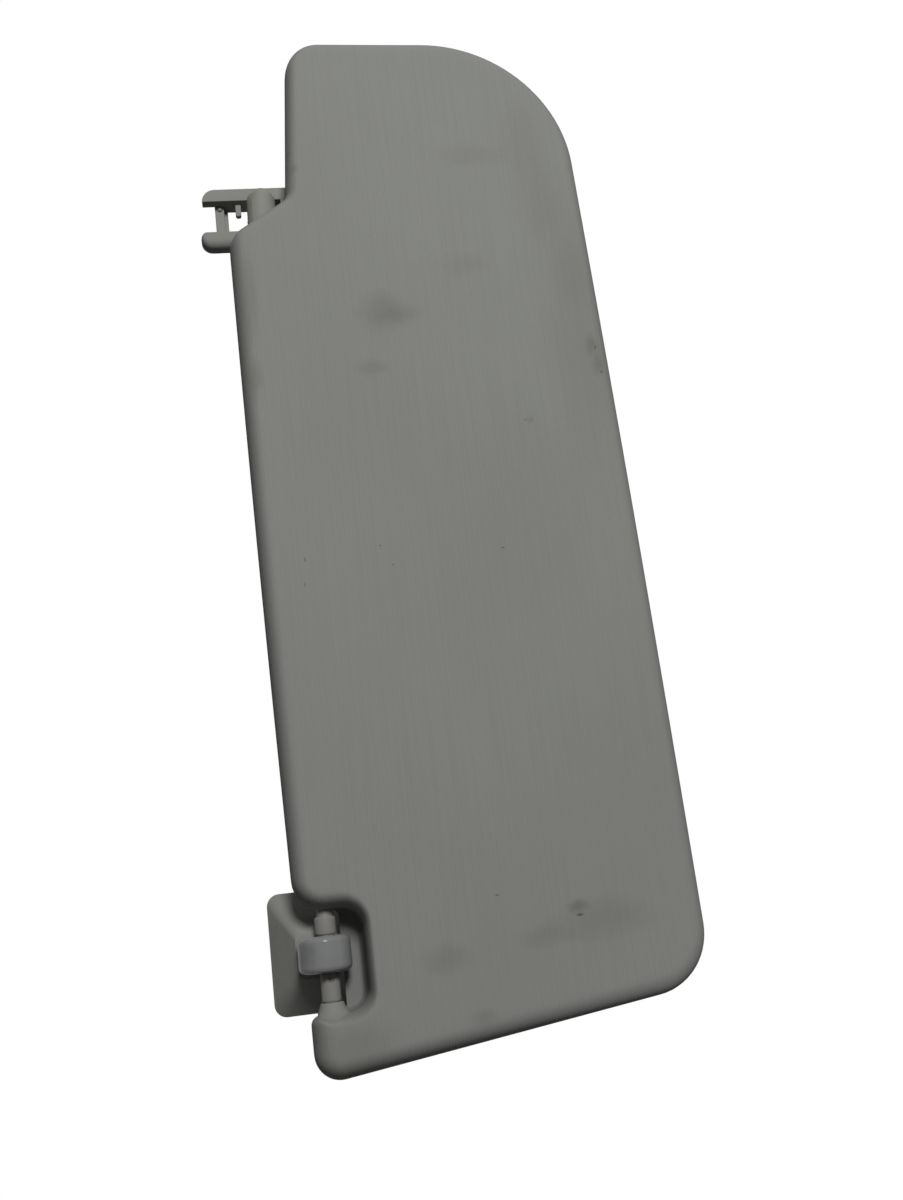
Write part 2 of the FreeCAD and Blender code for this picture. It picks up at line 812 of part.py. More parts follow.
export("pivot_rod", to_tilt_axis(pivot_rod()))
export("elbow_sleeve", to_tilt_axis(elbow_sleeve()))
export("spring_washer", to_tilt_axis(spring_washer()))
export("shaft_ring", to_tilt_axis(snap_ring(groove_z, ring_radius)))
export("rod_stop_ring", to_tilt_axis(stop_ring(groove_x, ring_radius)))

export("rod_carrier", to_tilt_axis(rod_carrier()))
export("outer_bearing", to_tilt_axis(rod_bearing(-carrier_near)))
export("inner_bearing", to_tilt_axis(rod_bearing(-carrier_far + bearing_length)))
export("detent_clip", to_tilt_axis(detent_clip()))
export("detent_rivets", to_tilt_axis(detent_rivets()))
export("frame_wire", to_tilt_axis(wire_shape(wire_radius)))

export("end_pin", to_tilt_axis(end_pin()))
upper_anchor = anchor_envelope(upper_anchor_near)
lower_anchor = anchor_envelope(lower_anchor_near).cut(wire_shape(wire_radius))
export("upper_pin_anchor", to_tilt_axis(upper_anchor.cut(end_pin())))
export("lower_pin_anchor", to_tilt_axis(lower_anchor.cut(end_pin())))
for node_name, piece in visor_pieces().items():
    export(node_name, to_tilt_axis(piece))

export("retainer_barrel", to_tilt_axis(retainer_barrel()))
export("retainer_foot", to_tilt_axis(retainer_foot()))
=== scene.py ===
"""Car sun visor: cloth, mouldings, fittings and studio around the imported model.

All lengths in the outline tables are in millimetres from the swivel axis (X) and the
tilt axis (Y). Finished meshes are in metres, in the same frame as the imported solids.
"""

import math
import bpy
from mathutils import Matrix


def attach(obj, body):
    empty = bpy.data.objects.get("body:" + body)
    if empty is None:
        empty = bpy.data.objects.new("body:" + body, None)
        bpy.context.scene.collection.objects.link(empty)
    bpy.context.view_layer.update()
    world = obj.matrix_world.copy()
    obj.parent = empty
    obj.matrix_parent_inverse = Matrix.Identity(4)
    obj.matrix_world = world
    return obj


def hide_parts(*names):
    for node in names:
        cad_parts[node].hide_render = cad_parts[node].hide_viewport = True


bl_info = {
    "name": "Car Sun Visor",
    "version": (1, 0, 0),
    "blender": (4, 5, 0),
    "location": "3D View > Sidebar > Visor",
    "description": "Builds the visible pieces of a fabric-covered sun visor on its pivot arm",
    "category": "Object",
}

import bmesh
import bpy
from bpy.props import FloatProperty, FloatVectorProperty, IntProperty, PointerProperty
from mathutils import Matrix, Vector, noise
from mathutils.geometry import delaunay_2d_cdt
from mathutils.kdtree import KDTree

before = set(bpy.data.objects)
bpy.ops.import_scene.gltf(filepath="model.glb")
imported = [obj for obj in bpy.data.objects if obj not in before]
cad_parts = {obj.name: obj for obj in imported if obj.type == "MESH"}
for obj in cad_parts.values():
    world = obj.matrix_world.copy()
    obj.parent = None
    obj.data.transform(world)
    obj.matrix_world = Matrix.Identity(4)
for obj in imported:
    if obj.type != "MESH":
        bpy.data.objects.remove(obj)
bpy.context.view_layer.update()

MM = 0.001
TILT_DROP = 26.0

# Outline of the visor, as in the solids
LOWER_REACH = 374.5
LOWER_SKEW = 19.4
EAR_REACH = 77.9
FREE_EDGE = 145.3
FREE_TAPER = 0.0157
NOTCH_LOW = 349.2
NOTCH_HIGH = 310.3
NOTCH_FOOT = 19.6
HINGE_EDGE_BASE = 15.5
HINGE_EDGE_PIN = 11.5
LOBE_EDGE_HIGH = 8.6
LOBE_EDGE_LOW = 8.4
EAR_ROOT = (-1.7, 10.7)
EAR_LEAN = 6.3
# Depth, inner corner, rounding, upper wall's rounding and inner wall's rounding of the notch
FRONT_NOTCH = (14.7, 8.0, 4.5, 6.5, 2.8)
BACK_NOTCH = (5.4, 3.0, 1.6, 1.6, 1.6)
HINGE_BOW = 0.6
FREE_BOW = 0.9
BOWL_ROUND = 2.2
BOWL_FLOOR = 8.9
# Parts of the long edges that bow out, and how far
HINGE_BOW_SPAN = (-NOTCH_HIGH, -NOTCH_FOOT)
FREE_BOW_SPAN = (-340.0, 50.0)
# Half widths beyond which the pin's neck is drawn in
NECK_FRONT = 5.7
NECK_REAR = 6.4
ARC_STEPS = (10, 8, 10, 10, 8, 10, 8, 10, 26, 14)
RUN_STEPS = (7, 6, 9, 7, 72, 9, 20, 30, 104, 40)


class VisorClothSettings(bpy.types.PropertyGroup):
    half_at_hinge: FloatProperty(
        name="Half Thickness at Hinge", description="Mid-plane to face along the hinge edge",
        default=12.5 * MM, min=0.004, unit="LENGTH")
    half_at_free: FloatProperty(
        name="Half Thickness at Free Edge", description="Mid-plane to face along the free edge",
        default=6.5 * MM, min=0.002, unit="LENGTH")
    crown: FloatProperty(
        name="Crown", description="Rise of each face above its edges",
        default=0.55 * MM, min=0.0, unit="LENGTH")
    ripple: FloatProperty(
        name="Ripple", description="Slack of the cloth over the foam",
        default=0.16 * MM, min=0.0, unit="LENGTH")
    face_step: FloatProperty(
        name="Face Step", description="Spacing of the mesh over the faces",
        default=4.2 * MM, min=0.002, unit="LENGTH")
    seam_depth: FloatProperty(
        name="Seam Depth", description="Depth of the groove where the two halves meet",
        default=0.4 * MM, min=0.0, unit="LENGTH")
    rib_pitch: FloatProperty(
        name="Rib Pitch", description="Spacing of the lengthwise ribs",
        default=1.07 * MM, min=0.0002, unit="LENGTH")
    thread_pitch: FloatProperty(
        name="Thread Pitch", description="Spacing of the cross threads",
        default=0.62 * MM, min=0.0002, unit="LENGTH")
    colour: FloatVectorProperty(
        name="Cloth Colour", description="Clean colour of the cloth",
        default=(0.222, 0.227, 0.213), size=3, subtype="COLOR")
    soil: FloatVectorProperty(
        name="Soil Colour", description="Colour of old soiling on the cloth",
        default=(0.128, 0.124, 0.108), size=3, subtype="COLOR")


class VisorMouldingSettings(bpy.types.PropertyGroup):
    sleeve_voxel: FloatProperty(
        name="Sleeve Mesh Size", description="Mesh size of the blended elbow sleeve",
        default=0.3 * MM, min=0.0002, unit="LENGTH")
    turned_steps: IntProperty(
        name="Turned Steps", description="Sides of the turned pieces",
        default=72, min=12)
    grey: FloatVectorProperty(
        name="Moulding Colour", description="Colour of the grained mouldings",
        default=(0.212, 0.216, 0.198), size=3, subtype="COLOR")
    smooth_grey: FloatVectorProperty(
        name="Barrel Colour", description="Colour of the rubbed retainer barrel",
        default=(0.19, 0.195, 0.192), size=3, subtype="COLOR")
    pin_grey: FloatVectorProperty(
        name="Pin Colour", description="Colour of the end pin",
        default=(0.2, 0.197, 0.184), size=3, subtype="COLOR")


class VisorStudioSettings(bpy.types.PropertyGroup):
    key_power: FloatProperty(
        name="Key Power", description="Power of the large lamp beyond the ear",
        default=35.0, unit="POWER")
    top_power: FloatProperty(
        name="Top Power", description="Power of the soft lamp above the roof side",
        default=13.0, unit="POWER")
    ambient: FloatProperty(
        name="Ambient", description="Strength of the even light from all round",
        default=0.06, min=0.0)
    floor_drop: FloatProperty(
        name="Floor Drop", description="Roof face down to the floor",
        default=2.2, unit="LENGTH")


class VisorSettings(bpy.types.PropertyGroup):
    cloth: PointerProperty(type=VisorClothSettings)
    moulding: PointerProperty(type=VisorMouldingSettings)
    studio: PointerProperty(type=VisorStudioSettings)


# Meshes
def collection():
    return bpy.context.scene.collection


def new_object(name, mesh):
    piece = bpy.data.objects.new(name, mesh)
    collection().objects.link(piece)
    return piece


def mesh_from(name, points, faces):
    mesh = bpy.data.meshes.new(name)
    mesh.from_pydata([tuple(point) for point in points], [], faces)
    mesh.validate()
    mesh.update()
    return mesh


def fixed_normals(mesh, merge=0.0):
    """Merges doubles where asked and turns every face of a closed mesh outwards."""
    work = bmesh.new()
    work.from_mesh(mesh)
    if merge > 0:
        bmesh.ops.remove_doubles(work, verts=work.verts, dist=merge)
    bmesh.ops.recalc_face_normals(work, faces=work.faces)
    work.to_mesh(mesh)
    work.free()
    mesh.update()


def smooth(mesh, degrees=35.0):
    mesh.shade_smooth()
    mesh.set_sharp_from_angle(angle=math.radians(degrees))


def lay_cloth(mesh, place_of):
    """Gives every face corner the place on the flat cloth that its vertex has."""
    layer = mesh.uv_layers.get("Cloth") or mesh.uv_layers.new(name="Cloth")
    for loop in mesh.loops:
        layer.data[loop.index].uv = place_of(mesh.vertices[loop.vertex_index])


def baked(piece):
    """Replaces the piece's mesh by what its modifiers make of it."""
    graph = bpy.context.evaluated_depsgraph_get()
    result = bpy.data.meshes.new_from_object(piece.evaluated_get(graph))
    old = piece.data
    piece.modifiers.clear()
    piece.data = result
    result.name = piece.name
    bpy.data.meshes.remove(old)
    return piece


def combine(piece, others, operation):
    """Exact union or difference of a piece with other closed pieces, which go afterwards."""
    for other in others:
        step = piece.modifiers.new("Combine", "BOOLEAN")
        step.operation = operation
        step.solver = "EXACT"
        step.object = other
        baked(piece)
        old = other.data
        bpy.data.objects.remove(other)
        bpy.data.meshes.remove(old)
    return piece


def lofted(name, rings, scale=MM, drop=TILT_DROP):
    """Closed mesh through rings of equal count, with a flat cap on the first and last."""
    count = len(rings[0])
    points = []
    for ring in rings:
        for point in ring:
            points.append((point[0] * scale, point[1] * scale, (point[2] - drop) * scale))
    faces = []
    for level in range(len(rings) - 1):
        low = level * count
        high = low + count
        for index in range(count):
            after = (index + 1) % count
            faces.append((low + index, low + after, high + after, high + index))
    faces.append(tuple(reversed(range(count))))
    last = (len(rings) - 1) * count
    faces.append(tuple(range(last, last + count)))
    mesh = mesh_from(name, points, faces)
    fixed_normals(mesh)
    return new_object(name, mesh)


def turned(name, profile, steps, axis="X", centre=(0.0, 0.0, 0.0), drop=TILT_DROP):
    """Closed mesh of a profile of (along, radius) turned round an axis through the centre."""
    rings = []
    for along, radius in profile:
        ring = []
        for step in range(steps):
            angle = 2 * math.pi * step / steps
            side = radius * math.cos(angle)
            rise = radius * math.sin(angle)
            if axis == "X":
                ring.append((centre[0] + along, centre[1] + side, centre[2] + rise))
            else:
                ring.append((centre[0] + side, centre[1] + rise, centre[2] + along))
        rings.append(ring)
    return lofted(name, rings, drop=drop)


def box(name, low, high, drop=0.0):
    rings = []
    for height in (low[2], high[2]):
        rings.append([
            (low[0], low[1], height),
            (high[0], low[1], height),
            (high[0], high[1], height),
            (low[0], high[1], height),
        ])
    return lofted(name, rings, drop=drop)


def cylinder(name, radius, start, end, axis="X", centre=(0.0, 0.0, 0.0), steps=48, drop=TILT_DROP):
    return turned(name, [(start, radius), (end, radius)], steps, axis, centre, drop)


def rounded_profile(start, end, radius, round_start, round_end, steps=5):
    """Profile of a turned body from start to end with both outer edges rounded."""
    way = 1 if end > start else -1
    profile = []
    for edge, turn, rounding in ((start, way, round_start), (end, -way, round_end)):
        arc = []
        for step in range(steps + 1):
            lean = math.pi / 2 * step / steps
            along = edge + turn * rounding * (1 - math.sin(lean))
            arc.append((along, radius - rounding * (1 - math.cos(lean))))
        profile += sorted(arc, key=lambda item: way * item[0])
    return profile


# Outline rings of the visor
def moved_in(corners, insets):
    """Corners after each edge has moved inwards by its own inset."""
    count = len(corners)
    lines = []
    for index in range(count):
        start = corners[index]
        along = (corners[(index + 1) % count] - start).normalized()
        inward = Vector((-along.y, along.x))
        lines.append((start + inward * insets[index], along))
    moved = []
    for index in range(count):
        point_a, along_a = lines[index - 1]
        point_b, along_b = lines[index]
        gap = point_b - point_a
        share = gap.cross(along_b) / along_a.cross(along_b)
        moved.append(point_a + along_a * share)
    return moved


def moved_radii(corners, radii, insets, least=0.8):
    count = len(corners)
    changed = []
    for index in range(count):
        before = corners[index] - corners[index - 1]
        after = corners[(index + 1) % count] - corners[index]
        inset = (insets[index - 1] + insets[index]) / 2
        radius = radii[index] - inset if before.cross(after) > 0 else radii[index] + inset
        changed.append(max(radius, least))
    return changed


def outline_points(corners, radii, arc_steps, run_steps):
    """Points round the outline: the same count at each arc and run whatever its size."""
    count = len(corners)
    arcs = []
    for index in range(count):
        corner = corners[index]
        before = (corners[index - 1] - corner).normalized()
        after = (corners[(index + 1) % count] - corner).normalized()
        half = before.angle(after) / 2
        centre = corner + (before + after).normalized() * (radii[index] / math.sin(half))
        start = corner + before * (radii[index] / math.tan(half)) - centre
        sweep = math.pi - 2 * half
        if before.cross(after) > 0:
            sweep = -sweep
        arc = []
        for step in range(arc_steps[index] + 1):
            turn = Matrix.Rotation(sweep * step / arc_steps[index], 2)
            arc.append(centre + turn @ start)
        arcs.append(arc)
    points = []
    for index in range(count):
        points.extend(arcs[index])
        start = arcs[index][-1]
        end = arcs[(index + 1) % count][0]
        for step in range(1, run_steps[index]):
            points.append(start.lerp(end, step / run_steps[index]))
    return points


def free_edge(x):
    return FREE_EDGE - FREE_TAPER * x


def bowed(point):
    """The long edges bow out a little between their ends."""
    on_hinge_edge = point.y < -4.0
    on_free_edge = point.y > 110.0
    start, end = HINGE_BOW_SPAN if on_hinge_edge else FREE_BOW_SPAN
    if not (on_hinge_edge or on_free_edge) or not start < point.x < end:
        return point
    rise = math.sin(math.pi * (point.x - start) / (end - start))
    return Vector((point.x, point.y + rise * (-HINGE_BOW if on_hinge_edge else FREE_BOW)))


def visor_outline(notch, lean, extra=0.0):
    """Outline ring of one half at a lean from its edge (0) to its face (a quarter turn)."""
    depth, inner_corner, notch_round, high_round, inner_round = notch
    corners = [
        Vector((-LOWER_REACH, -LOBE_EDGE_LOW)),
        Vector((-NOTCH_LOW, -LOBE_EDGE_HIGH)),
        Vector((-NOTCH_LOW, depth)),
        Vector((-NOTCH_HIGH, depth)),
        Vector((-NOTCH_HIGH, -HINGE_EDGE_PIN)),
        Vector((-NOTCH_FOOT, -HINGE_EDGE_BASE)),
        Vector(EAR_ROOT),
        Vector((EAR_REACH, EAR_ROOT[1] + EAR_LEAN)),
        Vector((EAR_REACH, free_edge(EAR_REACH))),
        Vector((LOWER_SKEW - LOWER_REACH, free_edge(LOWER_SKEW - LOWER_REACH))),
    ]
    radii = [10.0, 3.5, inner_corner, inner_corner, 12.0, 11.0, 5.0, 16.0, 65.0, 25.0]
    rounds = [8.5, notch_round, inner_round, high_round, 7.0, 6.5, 6.0, 6.5, 6.0, 8.0]
    insets = []
    for rounding in rounds:
        insets.append(extra + rounding * (1 - math.cos(lean)))
    inner = moved_in(corners, insets)
    ring = outline_points(inner, moved_radii(corners, radii, insets), ARC_STEPS, RUN_STEPS)
    return [bowed(point) for point in ring]


def half_at(settings, y):
    """Half thickness of the visor in millimetres at a distance from the tilt axis."""
    hinge = settings.half_at_hinge / MM
    taper = (hinge - settings.half_at_free / MM) / (FREE_EDGE + HINGE_EDGE_BASE)
    return hinge - taper * (y + HINGE_EDGE_BASE)


def cloth_half(name, side, notch, settings):
    """One padded half: rounded edge rings, a crowned face and a flat cap at the mid-plane."""
    leans = [0.0, math.radians(2.2)]
    for step in range(1, 13):
        leans.append(math.radians(90 * step / 12))
    rings = []
    for index, lean in enumerate(leans):
        extra = settings.seam_depth / MM if index == 0 else 0.0
        rings.append(visor_outline(notch, lean, extra))
    count = len(rings[0])
    face_ring = rings[-1]
    points = []
    cloth_place = []
    for lean, ring in zip(leans, rings):
        for index, point in enumerate(ring):
            height = math.sin(lean) * half_at(settings, point.y)
            points.append((point.x * MM, point.y * MM, (side * height - TILT_DROP) * MM))
            out = rings[1][index] - face_ring[index]
            rounding = out.length
            tall = half_at(settings, point.y)
            arc = 0.0
            for step in range(6):
                angle = lean + (math.pi / 2 - lean) * (step + 0.5) / 6
                span = (math.pi / 2 - lean) / 6
                arc += span * math.hypot(rounding * math.sin(angle), tall * math.cos(angle))
            away = out.normalized() if rounding > 1e-6 else Vector((0.0, 0.0))
            place = face_ring[index] + away * arc
            cloth_place.append((place.x * MM, place.y * MM))
    faces = []
    for level in range(len(rings) - 1):
        low = level * count
        for index in range(count):
            after = (index + 1) % count
            faces.append((low + index, low + after, low + count + after, low + count + index))
    add_face_fill(points, cloth_place, faces, face_ring, (len(rings) - 1) * count, side, settings)
    add_flat_cap(points, cloth_place, faces, rings[0], side)
    mesh = mesh_from(name, points, faces)
    lay_cloth(mesh, lambda vertex: cloth_place[vertex.index])
    fixed_normals(mesh)
    return new_object(name, mesh)


def grid_inside(ring, step, margin):
    """Points of a staggered grid that lie inside a ring, clear of it by a margin."""
    tree = KDTree(len(ring))
    for index, point in enumerate(ring):
        tree.insert((point.x, point.y, 0.0), index)
    tree.balance()
    low_x = min(point.x for point in ring)
    high_x = max(point.x for point in ring)
    low_y = min(point.y for point in ring)
    high_y = max(point.y for point in ring)
    found = []
    rows = int((high_y - low_y) / (step * 0.866)) + 1
    columns = int((high_x - low_x) / step) + 1
    for row in range(rows):
        y = low_y + row * step * 0.866
        crossings = []
        for index in range(len(ring)):
            start = ring[index - 1]
            end = ring[index]
            if (start.y > y) != (end.y > y):
                crossings.append(start.x + (y - start.y) / (end.y - start.y) * (end.x - start.x))
        crossings.sort()
        for column in range(columns):
            x = low_x + (column + 0.5 * (row % 2)) * step
            passed = sum(1 for crossing in crossings if crossing < x)
            if passed % 2 == 0:
                continue
            distance = tree.find((x, y, 0.0))[2]
            if distance > margin:
                found.append((Vector((x, y)), distance))
    return found


def add_face_fill(points, places, faces, ring, first, side, settings):
    step = settings.face_step / MM
    inside = grid_inside(ring, step, step * 0.55)
    count = len(ring)
    flat = list(ring) + [item[0] for item in inside]
    edges = [(index, (index + 1) % count) for index in range(count)]
    filled = delaunay_2d_cdt(flat, edges, [], 1, 1e-5)
    made_points, made_faces, origins = filled[0], filled[2], filled[3]
    numbers = []
    for index, point in enumerate(made_points):
        origin = origins[index][0] if origins[index] else -1
        if 0 <= origin < count:
            numbers.append(first + origin)
            continue
        distance = inside[origin - count][1] if origin >= count else 0.0
        rise = settings.crown / MM * (1 - math.exp(-(distance / 26.0) ** 2))
        sway = noise.noise(Vector((point.x / 52.0, point.y / 30.0, 3.1 * side)))
        sway += 0.5 * noise.noise(Vector((point.x / 21.0, point.y / 16.0, 7.7 * side)))
        rise += settings.ripple / MM * sway * min(1.0, distance / 14.0)
        height = half_at(settings, point.y) + rise
        numbers.append(len(points))
        points.append((point.x * MM, point.y * MM, (side * height - TILT_DROP) * MM))
        places.append((point.x * MM, point.y * MM))
    for face in made_faces:
        faces.append(tuple(numbers[index] for index in face))


def add_flat_cap(points, places, faces, ring, side):
    """Closes the mid-plane side of a half with its own flat triangles."""
    count = len(ring)
    edges = [(index, (index + 1) % count) for index in range(count)]
    filled = delaunay_2d_cdt(list(ring), edges, [], 1, 1e-5)
    for face in filled[2]:
        corners = []
        for index in face:
            corners.append(filled[3][index][0])
        faces.append(tuple(corners))


def bowl_cutter():
    """Space in the back half between the notch and its cloth floor."""
    rings = []
    levels = [(-0.6, 0.0)]
    for step in range(0, 13):
        lean = math.radians(90 * step / 12)
        levels.append((BOWL_FLOOR * math.sin(lean), BOWL_ROUND * (1 - math.cos(lean))))
    depth = FRONT_NOTCH[0]
    for height, inset in levels:
        corners = [
            Vector((-NOTCH_LOW + inset, 0.0)),
            Vector((-NOTCH_HIGH - inset, 0.0)),
            Vector((-NOTCH_HIGH - inset, depth - inset)),
            Vector((-NOTCH_LOW + inset, depth - inset)),
        ]
        inner = FRONT_NOTCH[1] - inset
        flat = outline_points(corners, [1.6, 1.6, inner, inner], (4, 4, 10, 10), (8, 6, 8, 6))
        rings.append([(point.x, point.y, height) for point in flat])
    cutter = lofted("bowl_cutter", rings)
    top = (BOWL_FLOOR - TILT_DROP) * MM
    lay_cloth(cutter.data, lambda vertex: (vertex.co.x, vertex.co.y + top - vertex.co.z))
    return cutter


# Materials
class Graph:
    """Adds nodes to a node tree and joins them, one call each."""

    def __init__(self, tree):
        self.tree = tree

    def add(self, kind, **settings):
        node = self.tree.nodes.new(kind)
        for name, value in settings.items():
            setattr(node, name, value)
        return node

    def feed(self, socket, value):
        if isinstance(value, bpy.types.NodeSocket):
            self.tree.links.new(value, socket)
        else:
            socket.default_value = value

    def math(self, operation, first, second=0.0, third=0.0, clamp=False):
        node = self.add("ShaderNodeMath", operation=operation, use_clamp=clamp)
        for socket, value in zip(node.inputs, (first, second, third)):
            self.feed(socket, value)
        return node.outputs[0]

    def vector(self, operation, first, second=(0.0, 0.0, 0.0)):
        node = self.add("ShaderNodeVectorMath", operation=operation)
        self.feed(node.inputs[0], first)
        self.feed(node.inputs[1], second)
        return node.outputs["Value" if operation in ("LENGTH", "DISTANCE", "DOT_PRODUCT") else "Vector"]

    def split(self, vector):
        node = self.add("ShaderNodeSeparateXYZ")
        self.feed(node.inputs[0], vector)
        return node.outputs

    def mix(self, share, first, second, blend="MIX"):
        node = self.add("ShaderNodeMix", data_type="RGBA", blend_type=blend)
        self.feed(node.inputs["Factor"], share)
        colours = [socket for socket in node.inputs if socket.type == "RGBA"]
        for socket, value in zip(colours, (first, second)):
            if not isinstance(value, bpy.types.NodeSocket):
                value = tuple(value)[:3] + (1.0,)
            self.feed(socket, value)
        return [socket for socket in node.outputs if socket.type == "RGBA"][0]

    def noise(self, place, scale, detail=2.0, roughness=0.5):
        node = self.add("ShaderNodeTexNoise")
        self.feed(node.inputs["Vector"], place)
        node.inputs["Scale"].default_value = scale
        node.inputs["Detail"].default_value = detail
        node.inputs["Roughness"].default_value = roughness
        return node.outputs["Fac"]

    def ramp(self, value, low, high, start=0.0, end=1.0):
        node = self.add("ShaderNodeMapRange", interpolation_type="SMOOTHSTEP")
        for socket, item in zip(node.inputs, (value, low, high, start, end)):
            self.feed(socket, item)
        return node.outputs[0]

    def place(self, group, **values):
        node = self.add("ShaderNodeGroup", node_tree=bpy.data.node_groups[group])
        for name, value in values.items():
            self.feed(node.inputs[name.replace("_", " ")], value)
        return node.outputs


def shader_group(name, inputs, outputs):
    """Empty shader node group with its named sockets; returns its graph and both ends."""
    tree = bpy.data.node_groups.new(name, "ShaderNodeTree")
    for label, kind, default in inputs:
        socket = tree.interface.new_socket(name=label, in_out="INPUT", socket_type=kind)
        socket.default_value = default
    for label in outputs:
        tree.interface.new_socket(name=label, in_out="OUTPUT", socket_type="NodeSocketFloat")
    graph = Graph(tree)
    return graph, graph.add("NodeGroupInput").outputs, graph.add("NodeGroupOutput").inputs


def build_rib_cloth():
    """Lengthwise ribs crossed by fine threads, with the wander of woven yarn."""
    graph, given, put = shader_group(
        "Rib Cloth",
        [("Place", "NodeSocketVector", (0.0, 0.0, 0.0)),
         ("Rib Pitch", "NodeSocketFloat", 0.001),
         ("Thread Pitch", "NodeSocketFloat", 0.0006)],
        ["Height", "Valley", "Slub"])
    along, across, _rise = graph.split(given["Place"])
    wander = graph.noise(given["Place"], 90.0, 1.0)
    drift = graph.math("MULTIPLY", graph.math("SUBTRACT", wander, 0.5), 0.0009)
    ribs = graph.math("DIVIDE", graph.math("ADD", across, drift), given["Rib Pitch"])
    ridge = graph.math("COSINE", graph.math("MULTIPLY", ribs, 2 * math.pi))
    ridge = graph.math("MULTIPLY_ADD", ridge, 0.5, 0.5)
    offset = graph.math("MULTIPLY", graph.math("FLOOR", ribs), 0.5)
    threads = graph.math("ADD", graph.math("DIVIDE", along, given["Thread Pitch"]), offset)
    thread = graph.math("COSINE", graph.math("MULTIPLY", threads, 2 * math.pi))
    thread = graph.math("MULTIPLY_ADD", thread, 0.5, 0.5)
    height = graph.math("MULTIPLY", ridge, graph.math("MULTIPLY_ADD", thread, 0.35, 0.65))
    graph.feed(put["Height"], height)
    graph.feed(put["Valley"], graph.math("SUBTRACT", 1.0, height))
    streak = graph.vector("MULTIPLY", given["Place"], (14.0, 900.0, 1.0))
    graph.feed(put["Slub"], graph.noise(streak, 1.0, 2.0))


def build_soil_spot():
    """Ragged soft spot round a centre: 1 in the middle, 0 outside."""
    graph, given, put = shader_group(
        "Soil Spot",
        [("Place", "NodeSocketVector", (0.0, 0.0, 0.0)),
         ("Centre", "NodeSocketVector", (0.0, 0.0, 0.0)),
         ("Size", "NodeSocketVector", (0.01, 0.01, 0.01)),
         ("Ragged", "NodeSocketFloat", 0.4),
         ("Strength", "NodeSocketFloat", 0.5)],
        ["Mask"])
    offset = graph.vector("SUBTRACT", given["Place"], given["Centre"])
    scaled = graph.vector("DIVIDE", offset, given["Size"])
    distance = graph.vector("LENGTH", scaled)
    edge = graph.noise(graph.vector("ADD", scaled, given["Centre"]), 1.6, 3.0, 0.6)
    edge = graph.math("MULTIPLY", graph.math("SUBTRACT", edge, 0.5), given["Ragged"])
    mask = graph.ramp(graph.math("ADD", distance, edge), 0.15, 1.0, 1.0, 0.0)
    graph.feed(put["Mask"], graph.math("MULTIPLY", mask, given["Strength"], clamp=True))


def build_moulded_grain():
    """Fine moulded grain with a sparse speck, as a height and a mask."""
    graph, given, put = shader_group(
        "Moulded Grain",
        [("Place", "NodeSocketVector", (0.0, 0.0, 0.0)),
         ("Grain Scale", "NodeSocketFloat", 1800.0)],
        ["Height", "Speck"])
    grain = graph.add("ShaderNodeTexVoronoi", feature="SMOOTH_F1")
    graph.feed(grain.inputs["Vector"], given["Place"])
    graph.feed(grain.inputs["Scale"], given["Grain Scale"])
    broad = graph.noise(given["Place"], 420.0, 3.0)
    height = graph.math("MULTIPLY_ADD", grain.outputs["Distance"], 0.7,
                        graph.math("MULTIPLY", broad, 0.5))
    graph.feed(put["Height"], height)
    graph.feed(put["Speck"], graph.ramp(graph.noise(given["Place"], 900.0, 1.0), 0.62, 0.75))


# Old soiling on the front face: x, y, half size along and across (mm), raggedness, strength
FRONT_SOIL = (
    (-61.7, 47.6, 13.0, 13.5, 0.9, 0.36),
    (-63.5, 55.5, 7.0, 13.0, 0.8, 0.24),
    (-87.9, 40.6, 5.5, 9.5, 0.8, 0.27),
    (15.6, 96.2, 8.0, 22.0, 0.9, 0.16),
    (-39.9, 87.1, 9.0, 17.0, 0.9, 0.15),
    (23.0, 121.0, 30.0, 14.0, 0.7, 0.17),
    (-10.0, 126.0, 34.0, 16.0, 0.7, 0.18),
    (-45.0, 134.0, 26.0, 13.0, 0.7, 0.14),
    (-81.0, 139.6, 7.5, 4.6, 1.1, 0.46),
    (-90.0, 141.3, 7.5, 3.8, 1.1, 0.42),
    (-115.1, 106.8, 2.4, 2.6, 1.0, 0.34),
    (-330.0, 84.0, 6.0, 14.0, 0.9, 0.26),
    (-326.0, 108.0, 11.0, 27.0, 0.9, 0.26),
    (-320.3, 98.7, 3.6, 6.4, 1.0, 0.62),
    (-334.0, 44.0, 8.0, 13.0, 0.8, 0.28),
    (-357.1, 56.7, 4.5, 7.0, 0.9, 0.3),
    (-166.0, 88.0, 75.0, 60.0, 0.6, 0.1),
    (-54.0, -9.0, 32.0, 5.0, 0.7, 0.3),
    (-75.0, 140.0, 85.0, 30.0, 0.5, 0.2),
    (-362.0, 6.0, 17.0, 24.0, 0.6, 0.32),
    (-90.0, -9.0, 12.0, 4.5, 0.9, 0.34),
    (9.7, 15.2, 3.4, 3.0, 0.8, 0.34),
    (18.8, 13.9, 2.2, 1.8, 0.8, 0.42),
)
# Small dark marks on the front face: x, y, half size along and across (mm), raggedness, strength
FRONT_MARKS = (
    (-167.6, 35.9, 0.5, 0.5, 0.5, 0.75),
    (-176.1, 40.4, 0.55, 0.6, 0.5, 0.62),
    (-171.9, 87.5, 0.45, 1.0, 0.5, 0.68),
    (-171.5, 4.6, 1.5, 0.45, 0.5, 0.55),
    (-182.1, 3.7, 1.5, 0.42, 0.5, 0.5),
    (-312.5, 67.0, 0.6, 1.3, 0.5, 0.5),
    (-323.6, 99.0, 0.8, 2.2, 0.5, 0.7),
    (-115.0, 104.5, 0.5, 0.8, 0.5, 0.5),
    (-82.0, 141.2, 1.0, 0.7, 0.5, 0.55),
    (-93.8, 142.3, 1.1, 0.9, 0.5, 0.55),
)
MARK_COLOUR = (0.035, 0.033, 0.028)


